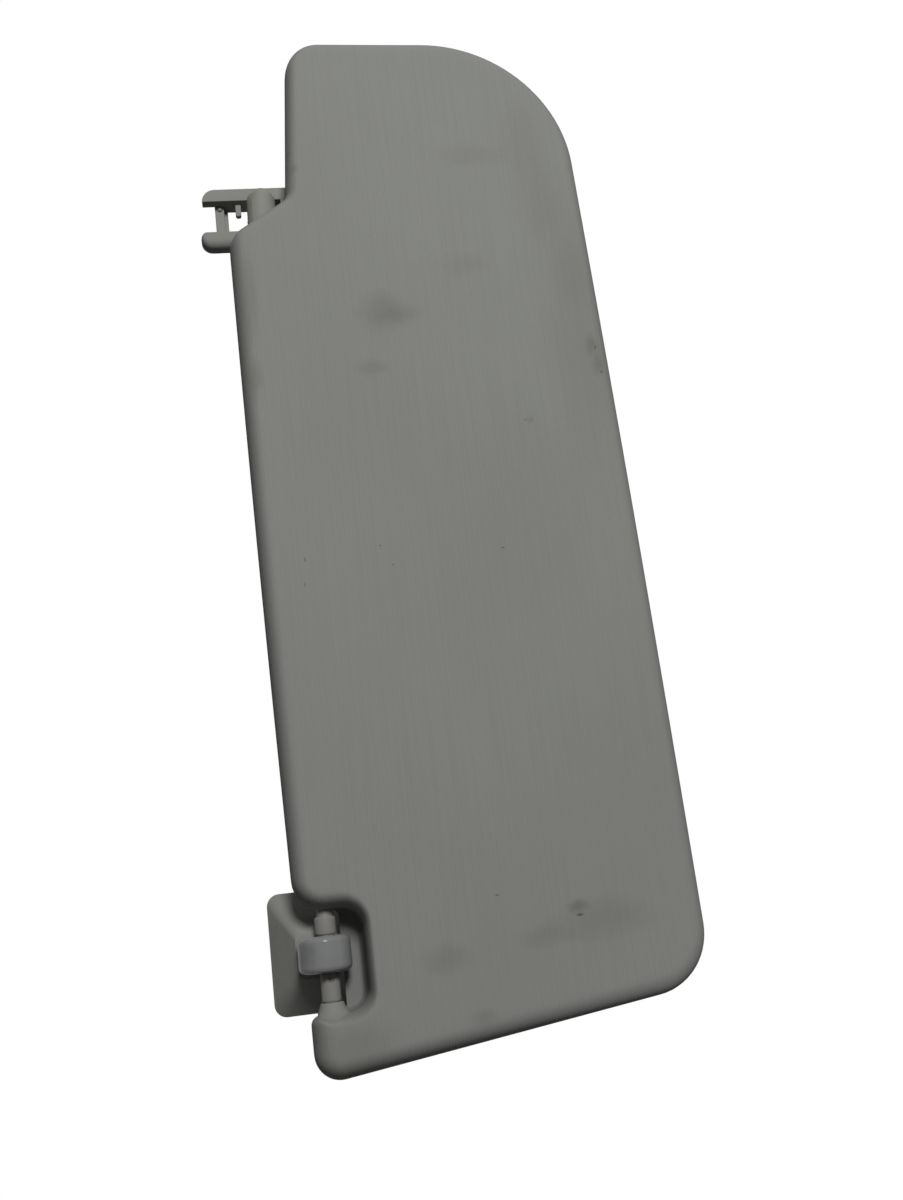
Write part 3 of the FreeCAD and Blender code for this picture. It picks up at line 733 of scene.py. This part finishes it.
def new_material(name):
    material = bpy.data.materials.new(name)
    material.use_nodes = True
    graph = Graph(material.node_tree)
    return material, graph, material.node_tree.nodes["Principled BSDF"].inputs


def object_place(graph):
    return graph.add("ShaderNodeTexCoord").outputs["Object"]


def bump(graph, height, distance, strength):
    node = graph.add("ShaderNodeBump")
    graph.feed(node.inputs["Height"], height)
    node.inputs["Distance"].default_value = distance
    node.inputs["Strength"].default_value = strength
    return node.outputs["Normal"]


def spots_mask(graph, place, spots):
    """One mask of all the spots, given as in the tables above."""
    clean = None
    for x, y, along, across, ragged, strength in spots:
        spot = graph.place("Soil Spot", Place=place, Centre=(x * MM, y * MM, 0.0),
                           Size=(along * MM, across * MM, 1.0), Ragged=ragged, Strength=strength)
        left = graph.math("SUBTRACT", 1.0, spot["Mask"])
        clean = left if clean is None else graph.math("MULTIPLY", clean, left)
    return graph.math("SUBTRACT", 1.0, clean)


def cloth_material(settings, name, soiled, painted_shade=1.0):
    material, graph, shader = new_material(name)
    place = graph.add("ShaderNodeUVMap", uv_map="Cloth").outputs["UV"]
    solid = object_place(graph)
    # The last argument darkens the whole cloth colour: painted shade for a copy of the cloth that lies
    # in shade.
    clean = [value * painted_shade for value in settings.colour]
    weave = graph.place("Rib Cloth", Place=place, Rib_Pitch=settings.rib_pitch,
                        Thread_Pitch=settings.thread_pitch)
    colour = graph.mix(graph.ramp(graph.noise(solid, 11.0, 3.0), 0.3, 0.7), clean,
                       [value * 0.955 for value in clean])
    colour = graph.mix(graph.ramp(weave["Slub"], 0.35, 0.75, 0.0, 0.3), colour,
                       [value * 0.86 for value in clean])
    if soiled:
        front = graph.math("LESS_THAN", graph.split(solid)[2], -(TILT_DROP - 4.0) * MM)
        flat = graph.vector("MULTIPLY", solid, (1.0, 1.0, 0.0))
        for spots, tint in ((FRONT_SOIL, settings.soil), (FRONT_MARKS, MARK_COLOUR)):
            covered = graph.math("MULTIPLY", spots_mask(graph, flat, spots), front)
            colour = graph.mix(covered, colour, tint)
    # Painted shade: the cloth darkens slightly towards black in the rib valleys.
    colour = graph.mix(graph.math("MULTIPLY", weave["Valley"], 0.05), colour, (0.0, 0.0, 0.0))
    graph.feed(shader["Base Color"], colour)
    graph.feed(shader["Roughness"], graph.math("MULTIPLY_ADD", weave["Valley"], 0.08, 0.86))
    fuzz = graph.math("MULTIPLY", graph.noise(solid, 2600.0, 2.0), 0.35)
    height = graph.math("ADD", weave["Height"], fuzz)
    graph.feed(shader["Normal"], bump(graph, height, 0.00012, 0.4))
    shader["Specular IOR Level"].default_value = 0.05
    shader["Sheen Weight"].default_value = 0.02
    shader["Sheen Roughness"].default_value = 0.5
    return material


def moulding_material(name, colour, roughness, grain, depth, gloss, dirt_and_shade=(), tint=(0.0, 0.0, 0.0)):
    """Grained or rubbed plastic, with soft darker spots given as centre, size and strength: real dirt,
    and painted shade where a side turns away from the light.
    """
    material, graph, shader = new_material(name)
    place = object_place(graph)
    texture = graph.place("Moulded Grain", Place=place, Grain_Scale=grain)
    cloudy = graph.ramp(graph.noise(place, 70.0, 3.0), 0.3, 0.72)
    shown = graph.mix(graph.math("MULTIPLY", cloudy, 0.5), colour, [value * 0.9 for value in colour])
    shown = graph.mix(graph.math("MULTIPLY", texture["Speck"], 0.22), shown,
                      [value * 1.25 for value in colour])
    # Each spot mixes in the tint: dirt on the top of the sleeve, and painted shade on the sleeve's
    # lower left and the barrel's left side.
    for centre, size, strength in dirt_and_shade:
        spot = graph.place("Soil Spot", Place=place, Centre=[value * MM for value in centre],
                           Size=[value * MM for value in size], Ragged=0.8, Strength=strength)
        shown = graph.mix(spot["Mask"], shown, tint)
    graph.feed(shader["Base Color"], shown)
    rubbed = graph.ramp(graph.noise(place, 160.0, 2.0), 0.35, 0.7, -0.05, 0.06)
    graph.feed(shader["Roughness"], graph.math("ADD", rubbed, roughness))
    graph.feed(shader["Normal"], bump(graph, texture["Height"], depth, 0.6))
    shader["Specular IOR Level"].default_value = gloss
    return material


def metal_material(name, colour, roughness, brushed):
    material, graph, shader = new_material(name)
    place = object_place(graph)
    streaks = graph.noise(graph.vector("MULTIPLY", place, brushed), 1.0, 3.0)
    stain = graph.ramp(graph.noise(place, 240.0, 3.0), 0.45, 0.75)
    graph.feed(shader["Base Color"],
               graph.mix(graph.math("MULTIPLY", stain, 0.4), colour, [value * 0.7 for value in colour]))
    graph.feed(shader["Roughness"], graph.math("MULTIPLY_ADD", streaks, 0.2, roughness))
    graph.feed(shader["Normal"], bump(graph, streaks, 0.00002, 0.4))
    shader["Metallic"].default_value = 1.0
    return material


def foam_material():
    material, graph, shader = new_material("bead_foam")
    place = object_place(graph)
    beads = graph.add("ShaderNodeTexVoronoi", feature="SMOOTH_F1")
    graph.feed(beads.inputs["Vector"], place)
    beads.inputs["Scale"].default_value = 420.0
    # Painted shade: the foam darkens towards the bead edges, where the bump sinks into the crevices.
    graph.feed(shader["Base Color"],
               graph.mix(beads.outputs["Distance"], (0.14, 0.14, 0.138), (0.07, 0.07, 0.07)))
    graph.feed(shader["Roughness"], graph.ramp(beads.outputs["Distance"], 0.0, 0.8, 0.7, 0.95))
    graph.feed(shader["Normal"], bump(graph, beads.outputs["Distance"], -0.0004, 0.8))
    return material


def paint(piece, material):
    """Gives the whole piece one material."""
    piece.data.materials.clear()
    piece.data.materials.append(material)
    for polygon in piece.data.polygons:
        polygon.material_index = 0


def dressed(piece, material, body, slot, *nodes):
    """Finishes a piece: its material, the body it rides on and what it stands for; the slot argument is
    not used.
    """
    paint(piece, bpy.data.materials[material])
    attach(piece, body)
    if nodes:
        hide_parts(*nodes)
    return piece


class VISOR_OT_finishes(bpy.types.Operator):
    """Builds the shared shader groups and every finish"""
    bl_idname = "visor.finishes"
    bl_label = "Finishes"

    def execute(self, context):
        settings = context.scene.sun_visor
        build_rib_cloth()
        build_soil_spot()
        build_moulded_grain()
        cloth_material(settings.cloth, "front_cloth", True)
        cloth_material(settings.cloth, "plain_cloth", False)
        # Painted shade: the back half, whose cloth floor lies deep in the pin notch, gets a copy of the
        # cloth darkened to 0.8.
        cloth_material(settings.cloth, "back_cloth", False, 0.8)
        grey = settings.moulding.grey
        # Yellowish dirt on the top of the sleeve; the third spot is painted shade on the sleeve's lower
        # left side.
        elbow_dirt_and_shade = (
            ((4.6, -1.2, -29.5), (3.4, 3.4, 4.0), 0.6),
            ((1.5, -3.0, -31.5), (3.0, 3.0, 3.0), 0.35),
            ((-3.0, -5.0, -29.0), (6.0, 2.6, 5.0), 0.45),
        )
        moulding_material("grained_grey", grey, 0.55, 1700.0, 0.00005, 0.02)
        moulding_material("sleeve_grey", grey, 0.5, 1700.0, 0.00004, 0.04,
                          elbow_dirt_and_shade, (0.17, 0.15, 0.09))
        moulding_material("foot_grey", grey, 0.5, 1500.0, 0.00005, 0.06)
        # Painted shade: a soft dark spot darkens the left side of the barrel, which turns away from the
        # lamp.
        barrel_painted_shade = (((-326.9, -9.5, -33.0), (9.0, 6.5, 9.0), 0.45),)
        moulding_material("rubbed_grey", settings.moulding.smooth_grey, 0.2, 2600.0, 0.00001, 0.13,
                          barrel_painted_shade, (0.085, 0.087, 0.086))
        moulding_material("pin_grey", settings.moulding.pin_grey, 0.45, 2200.0, 0.00002, 0.1)
        moulding_material("natural_nylon", (0.55, 0.54, 0.5), 0.45, 1500.0, 0.00003, 0.1)
        metal_material("plated_steel", (0.55, 0.56, 0.57), 0.25, (60.0, 4000.0, 4000.0))
        metal_material("blued_spring", (0.22, 0.23, 0.26), 0.3, (4000.0, 120.0, 4000.0))
        foam_material()
        return {"FINISHED"}


class VISOR_OT_cloth(bpy.types.Operator):
    """Makes the two padded cloth halves with the pin notch, its cloth floor and the rod's mouth"""
    bl_idname = "visor.cloth"
    bl_label = "Cloth Halves"

    def execute(self, context):
        settings = context.scene.sun_visor.cloth
        for name, side, notch, node in (
                ("front_cloth", -1, FRONT_NOTCH, "front_cover"),
                ("back_cloth", 1, BACK_NOTCH, "back_cover")):
            half = cloth_half(name, side, notch, settings)
            cutters = [cylinder("mouth", 6.9, -30.0, 12.0)]
            if side > 0:
                cutters.append(bowl_cutter())
            combine(half, cutters, "DIFFERENCE")
            smooth(half.data, 38.0)
            dressed(half, name, "visor", "fabric", node)
        return {"FINISHED"}


class VISOR_OT_pin_neck(bpy.types.Operator):
    """Makes the neck of cloth that rises round the end pin on the visor's lower lobe"""
    bl_idname = "visor.pin_neck"
    bl_label = "Pin Neck"

    def execute(self, context):
        flare = ((-3.4, 10.3), (-2.1, 9.7), (-1.3, 8.6), (-0.6, 7.6), (0.1, 6.75), (0.9, 6.0),
                 (1.8, 5.4), (2.8, 4.95), (3.7, 4.65), (4.15, 4.4), (4.3, 4.05))
        neck = turned("pin_neck", [(along - NOTCH_LOW, radius) for along, radius in flare], 64)
        for vertex in neck.data.vertices:
            edge = NECK_FRONT if vertex.co.y < 0 else NECK_REAR
            past = abs(vertex.co.y) - edge * MM
            if past > 0:
                vertex.co.y -= math.copysign(past * 0.85, vertex.co.y)
        lay_cloth(neck.data, lambda vertex: (
            vertex.co.x, math.atan2(vertex.co.z + TILT_DROP * MM, vertex.co.y) * 7.0 * MM))
        smooth(neck.data, 50.0)
        dressed(neck, "plain_cloth", "visor", "fabric")
        return {"FINISHED"}


def seam_tree():
    """Geometry nodes that run a round bead along a path of edges."""
    tree = bpy.data.node_groups.new("Seam Bead", "GeometryNodeTree")
    face = tree.interface
    face.new_socket(name="Path", in_out="INPUT", socket_type="NodeSocketGeometry")
    face.new_socket(name="Bead Radius", in_out="INPUT", socket_type="NodeSocketFloat")
    face.new_socket(name="Spacing", in_out="INPUT", socket_type="NodeSocketFloat")
    face.new_socket(name="Finish", in_out="INPUT", socket_type="NodeSocketMaterial")
    face.new_socket(name="Bead", in_out="OUTPUT", socket_type="NodeSocketGeometry")
    graph = Graph(tree)
    given = graph.add("NodeGroupInput").outputs
    path = graph.add("GeometryNodeMeshToCurve")
    graph.feed(path.inputs["Mesh"], given["Path"])
    even = graph.add("GeometryNodeResampleCurve", mode="LENGTH")
    graph.feed(even.inputs["Curve"], path.outputs["Curve"])
    graph.feed(even.inputs["Length"], given["Spacing"])
    profile = graph.add("GeometryNodeCurvePrimitiveCircle")
    profile.inputs["Resolution"].default_value = 10
    graph.feed(profile.inputs["Radius"], given["Bead Radius"])
    sweep = graph.add("GeometryNodeCurveToMesh")
    graph.feed(sweep.inputs["Curve"], even.outputs["Curve"])
    graph.feed(sweep.inputs["Profile Curve"], profile.outputs["Curve"])
    real = graph.add("GeometryNodeRealizeInstances")
    graph.feed(real.inputs["Geometry"], sweep.outputs["Mesh"])
    finish = graph.add("GeometryNodeSetMaterial")
    graph.feed(finish.inputs["Geometry"], real.outputs["Geometry"])
    graph.feed(finish.inputs["Material"], given["Finish"])
    graph.feed(graph.add("NodeGroupOutput").inputs["Bead"], finish.outputs["Geometry"])
    return tree


def set_inputs(modifier, values):
    """Sets a geometry-nodes modifier's inputs by their identifiers."""
    for item in modifier.node_group.interface.items_tree:
        if item.item_type == "SOCKET" and item.in_out == "INPUT" and item.name in values:
            modifier[item.identifier] = values[item.name]


class VISOR_OT_edge_seam(bpy.types.Operator):
    """Runs the closing bead along the groove where the cloth halves meet"""
    bl_idname = "visor.edge_seam"
    bl_label = "Edge Seam"

    def execute(self, context):
        settings = context.scene.sun_visor.cloth
        ring = visor_outline(FRONT_NOTCH, 0.0, settings.seam_depth / MM * 0.8)
        points = [(point.x * MM, point.y * MM, -TILT_DROP * MM) for point in ring]
        count = len(points)
        mesh = bpy.data.meshes.new("edge_seam")
        mesh.from_pydata(points, [(index, (index + 1) % count) for index in range(count)], [])
        seam = new_object("edge_seam", mesh)
        modifier = seam.modifiers.new("Bead", "NODES")
        modifier.node_group = seam_tree()
        set_inputs(modifier, {"Bead Radius": 0.34 * MM, "Spacing": 1.6 * MM,
                              "Finish": bpy.data.materials["plain_cloth"]})
        baked(seam)
        lay_cloth(seam.data, lambda vertex: (vertex.co.x + vertex.co.y, vertex.co.z))
        fixed_normals(seam.data, 0.00001)
        smooth(seam.data, 60.0)
        dressed(seam, "plain_cloth", "visor", "fabric")
        return {"FINISHED"}


def eased_block(name, corners, radii, rounds, front, back, rise, drop=0.0, steps=6):
    """Block between a front and a back height, each front edge rounded by its own amount."""
    outline = [Vector(corner) for corner in corners]
    count = len(outline)
    arc_steps = [8] * count
    run_steps = [4] * count
    rings = []
    for step in range(4):
        lean = math.pi / 2 * (1 - step / 3)
        insets = [0.3 * (1 - math.cos(lean))] * count
        flat = outline_points(moved_in(outline, insets), moved_radii(outline, radii, insets, 0.15),
                              arc_steps, run_steps)
        rings.append([(point.x, point.y, back - 0.3 * (1 - math.sin(lean))) for point in flat])
    for step in range(steps + 1):
        lean = math.pi / 2 * step / steps
        insets = [rounding * (1 - math.cos(lean)) for rounding in rounds]
        flat = outline_points(moved_in(outline, insets), moved_radii(outline, radii, insets, 0.15),
                              arc_steps, run_steps)
        rings.append([(point.x, point.y, front + rise * (1 - math.sin(lean))) for point in flat])
    return lofted(name, rings, drop=drop)


def plain_block(name, low, high, easing=0.35):
    """Block with eased upright corners and front edges."""
    corners = [(low[0], low[1]), (high[0], low[1]), (high[0], high[1]), (low[0], high[1])]
    return eased_block(name, corners, [easing * 1.4] * 4, [easing] * 4, low[2], high[2], easing)


class VISOR_OT_base(bpy.types.Operator):
    """Makes the roof base with its two prongs, web, peg, nub, socket and screw lugs"""
    bl_idname = "visor.base"
    bl_label = "Roof Base"

    def execute(self, context):
        high = eased_block(
            "base_bracket_body", [(11.4, -26.3), (17.9, -26.3), (17.9, 29.0), (11.4, 29.0)],
            [0.3, 5.9, 5.9, 0.3], [0.7, 0.9, 0.9, 0.25], -9.99, -5.02, 0.9)
        low = eased_block(
            "low_rail", [(-11.6, -27.9), (-3.8, -27.9), (-3.8, 29.0), (-11.6, 29.0)],
            [4.9, 2.2, 2.2, 4.6], [1.9, 0.5, 1.6, 3.9], -10.0, -3.4, 3.8)
        peg = eased_block(
            "peg", [(4.9, -11.4), (11.9, -11.4), (11.9, -8.8), (4.9, -8.8)],
            [1.0, 0.9, 0.9, 1.0], [0.5] * 4, -7.6, -5.1, 0.5)
        nub_profile = [(-2.2, 1.1)]
        for step in range(0, 6):
            lean = math.pi / 2 * step / 6
            nub_profile.insert(0, (-5.2 - 1.1 * math.sin(lean), 1.1 * math.cos(lean)))
        parts = [
            low,
            plain_block("ledge", (11.35, -20.8, -9.0), (12.6, 27.5, -0.01)),
            plain_block("inner_low", (-6.3, -20.9, -6.1), (-4.05, 27.4, 0.0)),
            plain_block("web", (-5.0, -20.75, -5.2), (11.9, -16.6, -0.02)),
            plain_block("web_ledge", (-5.1, -17.4, -2.4), (12.0, -14.9, -0.03)),
            cylinder("socket", 6.4, -9.96, -0.04, "Z", drop=0.0),
            plain_block("lug", (-5.2, 9.5, -9.92), (12.5, 27.45, -0.05)),
            plain_block("lug_floor", (-5.15, 1.3, -2.6), (12.3, 10.9, -0.07)),
            peg,
            turned("nub", nub_profile, 20, "Z", (9.8, -18.5, 0.0), drop=0.0),
        ]
        combine(high, parts, "UNION")
        cutters = [
            cylinder("bore", 5.2, -11.0, 1.0, "Z", drop=0.0),
            cylinder("recess", 6.0, -3.0, 1.0, "Z", drop=0.0),
        ]
        for x in (-2.5, 9.5):
            cutters.append(cylinder("hole", 2.2, -11.0, 1.0, "Z", (x, 21.5, 0.0), drop=0.0))
            cutters.append(cylinder("sink", 4.2, -11.0, -6.0, "Z", (x, 21.5, 0.0), drop=0.0))
        combine(high, cutters, "DIFFERENCE")
        smooth(high.data, 32.0)
        dressed(high, "grained_grey", "base", "grey_plastic", "base_bracket")
        return {"FINISHED"}


SLEEVE_RADIUS = 6.3
SLEEVE_REACH = 27.0
SLEEVE_TOP = 13.95


class VISOR_OT_elbow(bpy.types.Operator):
    """Makes the sleeve that is moulded over the rod's elbow, with its faint parting line"""
    bl_idname = "visor.elbow"
    bl_label = "Elbow Sleeve"

    def execute(self, context):
        settings = context.scene.sun_visor.moulding
        radius = SLEEVE_RADIUS
        sleeve = turned("elbow_sleeve_body", rounded_profile(-SLEEVE_REACH, 0.6, radius, 0.8, 0.3), 64)
        dome_profile = []
        for step in range(1, 24):
            lean = math.pi * step / 24
            dome_profile.append((-radius * math.cos(lean), radius * math.sin(lean)))
        dome = turned("dome", dome_profile, 64)
        upright = turned("upright", rounded_profile(-0.6, SLEEVE_TOP, radius, 0.3, 0.5), 64, "Z")
        combine(sleeve, [dome, upright], "UNION")
        remesh = sleeve.modifiers.new("Blend", "REMESH")
        remesh.mode = "VOXEL"
        remesh.voxel_size = settings.sleeve_voxel
        remesh.use_smooth_shade = True
        ease = sleeve.modifiers.new("Ease", "SMOOTH")
        ease.factor = 0.5
        ease.iterations = 3
        baked(sleeve)
        self.raise_parting_line(sleeve.data)
        smooth(sleeve.data, 50.0)
        dressed(sleeve, "sleeve_grey", "arm", "grey_plastic", "elbow_sleeve")
        return {"FINISHED"}

    def raise_parting_line(self, mesh):
        """Lifts a thin line along the lower left of the sleeve, fading at both ends."""
        middle = math.atan2(-4.8, -4.0)
        for vertex in mesh.vertices:
            x = vertex.co.x / MM
            y = vertex.co.y / MM
            z = vertex.co.z / MM + TILT_DROP
            if not -14.0 < x < 1.0:
                continue
            across = (math.atan2(z, y) - middle) * SLEEVE_RADIUS
            fade = min(1.0, (x + 14.0) / 3.0, (1.0 - x) / 3.0)
            lift = 0.15 * fade * math.exp(-(across / 0.4) ** 2)
            vertex.co += Vector((0.0, y, z)).normalized() * lift * MM


class VISOR_OT_end_pin(bpy.types.Operator):
    """Turns the end pin with its two collars and the sink mark on the lower one"""
    bl_idname = "visor.end_pin"
    bl_label = "End Pin"

    def execute(self, context):
        settings = context.scene.sun_visor.moulding
        profile = [(-362.1, 3.05), (-345.0, 3.05), (-344.3, 3.7)]
        profile += [(-343.9, 3.75), (-338.0, 3.72), (-335.0, 3.68), (-334.4, 3.62)]
        profile += [(-334.15, 3.52), (-334.1, 3.45)]
        profile += [(-319.7, 3.45), (-319.65, 3.8), (-319.4, 4.02), (-318.8, 4.1), (-313.7, 4.1)]
        profile += [(-313.2, 4.02), (-312.95, 3.75), (-312.9, 3.3), (-312.4, 3.15), (-292.4, 3.05)]
        pin = turned("end_pin_body", profile, settings.turned_steps)
        dimple = turned("dimple", [(-0.45, 0.45), (-0.3, 0.8), (0.0, 1.05), (1.0, 1.5)], 24, "Z",
                        (-336.6, 0.4, -3.82))
        combine(pin, [dimple], "DIFFERENCE")
        smooth(pin.data, 40.0)
        dressed(pin, "pin_grey", "visor", "pin_plastic", "end_pin")
        return {"FINISHED"}


BARREL_MIDDLE = 326.9
BARREL_OFFSET = 1.2
BARREL_RADIUS = 10.4
BARREL_HALF = 6.9


class VISOR_OT_barrel(bpy.types.Operator):
    """Turns the rubbed retainer barrel on the end pin"""
    bl_idname = "visor.barrel"
    bl_label = "Retainer Barrel"

    def execute(self, context):
        settings = context.scene.sun_visor.moulding
        outer = rounded_profile(-BARREL_HALF, BARREL_HALF, BARREL_RADIUS, 2.6, 2.6, steps=9)
        barrel = turned("retainer_barrel_body", outer, settings.turned_steps + 24, "X",
                        (-BARREL_MIDDLE, -BARREL_OFFSET, 0.0))
        bore = cylinder("bore", 3.51, -8.0, 8.0, "X", (-BARREL_MIDDLE, 0.0, 0.0), 64)
        combine(barrel, [bore], "DIFFERENCE")
        smooth(barrel.data, 40.0)
        dressed(barrel, "rubbed_grey", "retainer", "smooth_plastic", "retainer_barrel")
        return {"FINISHED"}


# Half length of the foot and its reach to the front and rear, at the neck and at the rim
FOOT_HALF = (8.75, 24.0)
FOOT_FRONT = (12.0, 22.1)
FOOT_REAR = (4.5, 15.5)


def foot_outline(share, rear_share, inset=0.0):
    """Rounded section of the foot; the shares go from the neck (0) to the rim (1)."""
    half = FOOT_HALF[0] + (FOOT_HALF[1] - FOOT_HALF[0]) * share - inset
    centre = BARREL_MIDDLE - 1.3 * share
    front = FOOT_FRONT[0] + (FOOT_FRONT[1] - FOOT_FRONT[0]) * share - inset
    rear = FOOT_REAR[0] + (FOOT_REAR[1] - FOOT_REAR[0]) * rear_share - inset
    corner = 3.0 + 2.0 * share
    corners = [
        Vector((-centre - half, -front)),
        Vector((-centre + half, -front)),
        Vector((-centre + half, rear)),
        Vector((-centre - half, rear)),
    ]
    return outline_points(corners, [corner] * 4, [10] * 4, [8] * 4)


class VISOR_OT_foot(bpy.types.Operator):
    """Makes the flared foot with its saddle for the barrel and its two screw holes"""
    bl_idname = "visor.foot"
    bl_label = "Retainer Foot"

    def execute(self, context):
        levels = [(6.0, 0.0, 0.0, 0.0)]
        for step in range(15):
            lean = math.pi / 2 * step / 14
            height = 12.0 + 10.8 * math.sin(lean)
            levels.append((height, (height - 6.0) / 16.8, 1 - math.cos(lean), 0.0))
        levels += [(23.3, 1.0, 1.0, 0.0), (25.6, 1.0, 1.0, 0.0), (26.0, 1.0, 1.0, 0.35)]
        rings = []
        for height, share_x, share_y, inset in levels:
            flat = foot_outline(share_x, share_y, inset)
            rings.append([(point.x, point.y, height) for point in flat])
        foot = lofted("retainer_foot_body", rings)
        cutters = [cylinder("saddle", BARREL_RADIUS + 0.02, -6.93, 6.93, "X",
                            (-BARREL_MIDDLE, -BARREL_OFFSET, 0.0), 128)]
        for offset in (-12.0, 12.0):
            cutters.append(cylinder("hole", 1.9, 18.0, 27.0, "Z", (-325.6 + offset, -3.3, 0.0)))
        combine(foot, cutters, "DIFFERENCE")
        smooth(foot.data, 36.0)
        dressed(foot, "foot_grey", "retainer", "grey_plastic", "retainer_foot")
        return {"FINISHED"}


class VISOR_OT_fittings(bpy.types.Operator):
    """Gives the solids that stay their finishes"""
    bl_idname = "visor.fittings"
    bl_label = "Inner Fittings"

    def execute(self, context):
        finishes = {
            "plated_steel": ("pivot_rod", "spring_washer", "shaft_ring", "rod_stop_ring",
                             "detent_rivets", "frame_wire"),
            "blued_spring": ("detent_clip",),
            "natural_nylon": ("swivel_bush", "rod_carrier", "outer_bearing", "inner_bearing",
                              "upper_pin_anchor", "lower_pin_anchor"),
            "bead_foam": ("front_core", "back_core"),
        }
        for finish, names in finishes.items():
            for name in names:
                paint(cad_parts[name], bpy.data.materials[finish])
        return {"FINISHED"}


def soft_lamp(name, place, target, size, power):
    data = bpy.data.lights.new(name, "AREA")
    data.shape = "DISK"
    data.size = size
    data.energy = power
    lamp = bpy.data.objects.new(name, data)
    collection().objects.link(lamp)
    aim = Vector(target) - Vector(place)
    lamp.matrix_world = Matrix.Translation(place) @ aim.to_track_quat("-Z", "Y").to_matrix().to_4x4()
    lamp.visible_camera = False
    return lamp


class VISOR_OT_studio(bpy.types.Operator):
    """Makes the pale floor, the soft lamps, the even surroundings and the camera"""
    bl_idname = "visor.studio"
    bl_label = "Studio"

    def execute(self, context):
        settings = context.scene.sun_visor.studio
        self.make_floor(settings)
        self.make_surroundings(context, settings)
        middle = (-0.13, 0.06, -0.03)
        soft_lamp("key", (0.68, 0.17, -1.72), middle, 0.5, settings.key_power)
        soft_lamp("top", (0.55, 0.1, 0.9), middle, 0.35, settings.top_power)
        self.make_camera(context)
        context.scene.view_settings.view_transform = "Standard"
        return {"FINISHED"}

    def make_floor(self, settings):
        reach = 4.0
        level = -settings.floor_drop
        mesh = mesh_from("floor", [(-reach, -reach, level), (reach, -reach, level),
                                   (reach, reach, level), (-reach, reach, level)], [(0, 1, 2, 3)])
        floor = new_object("floor", mesh)
        material, graph, shader = new_material("pale_floor")
        mottle = graph.noise(object_place(graph), 30.0, 3.0)
        graph.feed(shader["Base Color"], graph.mix(mottle, (0.86, 0.86, 0.86), (0.82, 0.82, 0.82)))
        shader["Roughness"].default_value = 0.8
        paint(floor, material)

    def make_surroundings(self, context, settings):
        world = bpy.data.worlds.new("surroundings")
        world.use_nodes = True
        context.scene.world = world
        graph = Graph(world.node_tree)
        background = world.node_tree.nodes["Background"]
        rays = graph.add("ShaderNodeLightPath").outputs
        seen = graph.math("ADD", rays["Is Camera Ray"], rays["Is Glossy Ray"], clamp=True)
        seen = graph.math("ADD", seen, rays["Is Transmission Ray"], clamp=True)
        background.inputs["Color"].default_value = (1.0, 1.0, 1.0, 1.0)
        graph.feed(background.inputs["Strength"], graph.math(
            "MULTIPLY_ADD", seen, 1.0 - settings.ambient, settings.ambient))

    def make_camera(self, context):
        data = bpy.data.cameras.new("camera")
        data.lens = 38.1
        data.sensor_width = 36.0
        data.clip_start = 0.01
        camera = bpy.data.objects.new("camera", data)
        collection().objects.link(camera)
        right = Vector((-0.11542, 0.98553, -0.12416))
        up = Vector((0.96353, 0.0807, -0.25513))
        back = right.cross(up)
        turn = Matrix((right, up, back)).transposed().to_4x4()
        camera.matrix_world = Matrix.Translation((-0.31915, -0.01501, -0.53748)) @ turn
        context.scene.camera = camera


class VISOR_PT_pieces(bpy.types.Panel):
    bl_label = "Sun Visor"
    bl_idname = "VISOR_PT_pieces"
    bl_space_type = "VIEW_3D"
    bl_region_type = "UI"
    bl_category = "Visor"

    def draw(self, context):
        settings = context.scene.sun_visor
        for group in (settings.cloth, settings.moulding, settings.studio):
            box_of_rows = self.layout.box()
            for name in group.__annotations__:
                box_of_rows.prop(group, name)
        for operator in PIECES:
            self.layout.operator(operator.bl_idname)


PIECES = (
    VISOR_OT_finishes,
    VISOR_OT_cloth,
    VISOR_OT_pin_neck,
    VISOR_OT_edge_seam,
    VISOR_OT_base,
    VISOR_OT_elbow,
    VISOR_OT_end_pin,
    VISOR_OT_barrel,
    VISOR_OT_foot,
    VISOR_OT_fittings,
    VISOR_OT_studio,
)
CLASSES = (
    VisorClothSettings,
    VisorMouldingSettings,
    VisorStudioSettings,
    VisorSettings,
) + PIECES + (VISOR_PT_pieces,)


def register():
    for item in CLASSES:
        bpy.utils.register_class(item)
    bpy.types.Scene.sun_visor = PointerProperty(type=VisorSettings)


def unregister():
    del bpy.types.Scene.sun_visor
    for item in reversed(CLASSES):
        bpy.utils.unregister_class(item)


def main():
    register()
    for operator in PIECES:
        family, name = operator.bl_idname.split(".")
        getattr(getattr(bpy.ops, family), name)()


if __name__ == "__main__":
    main()
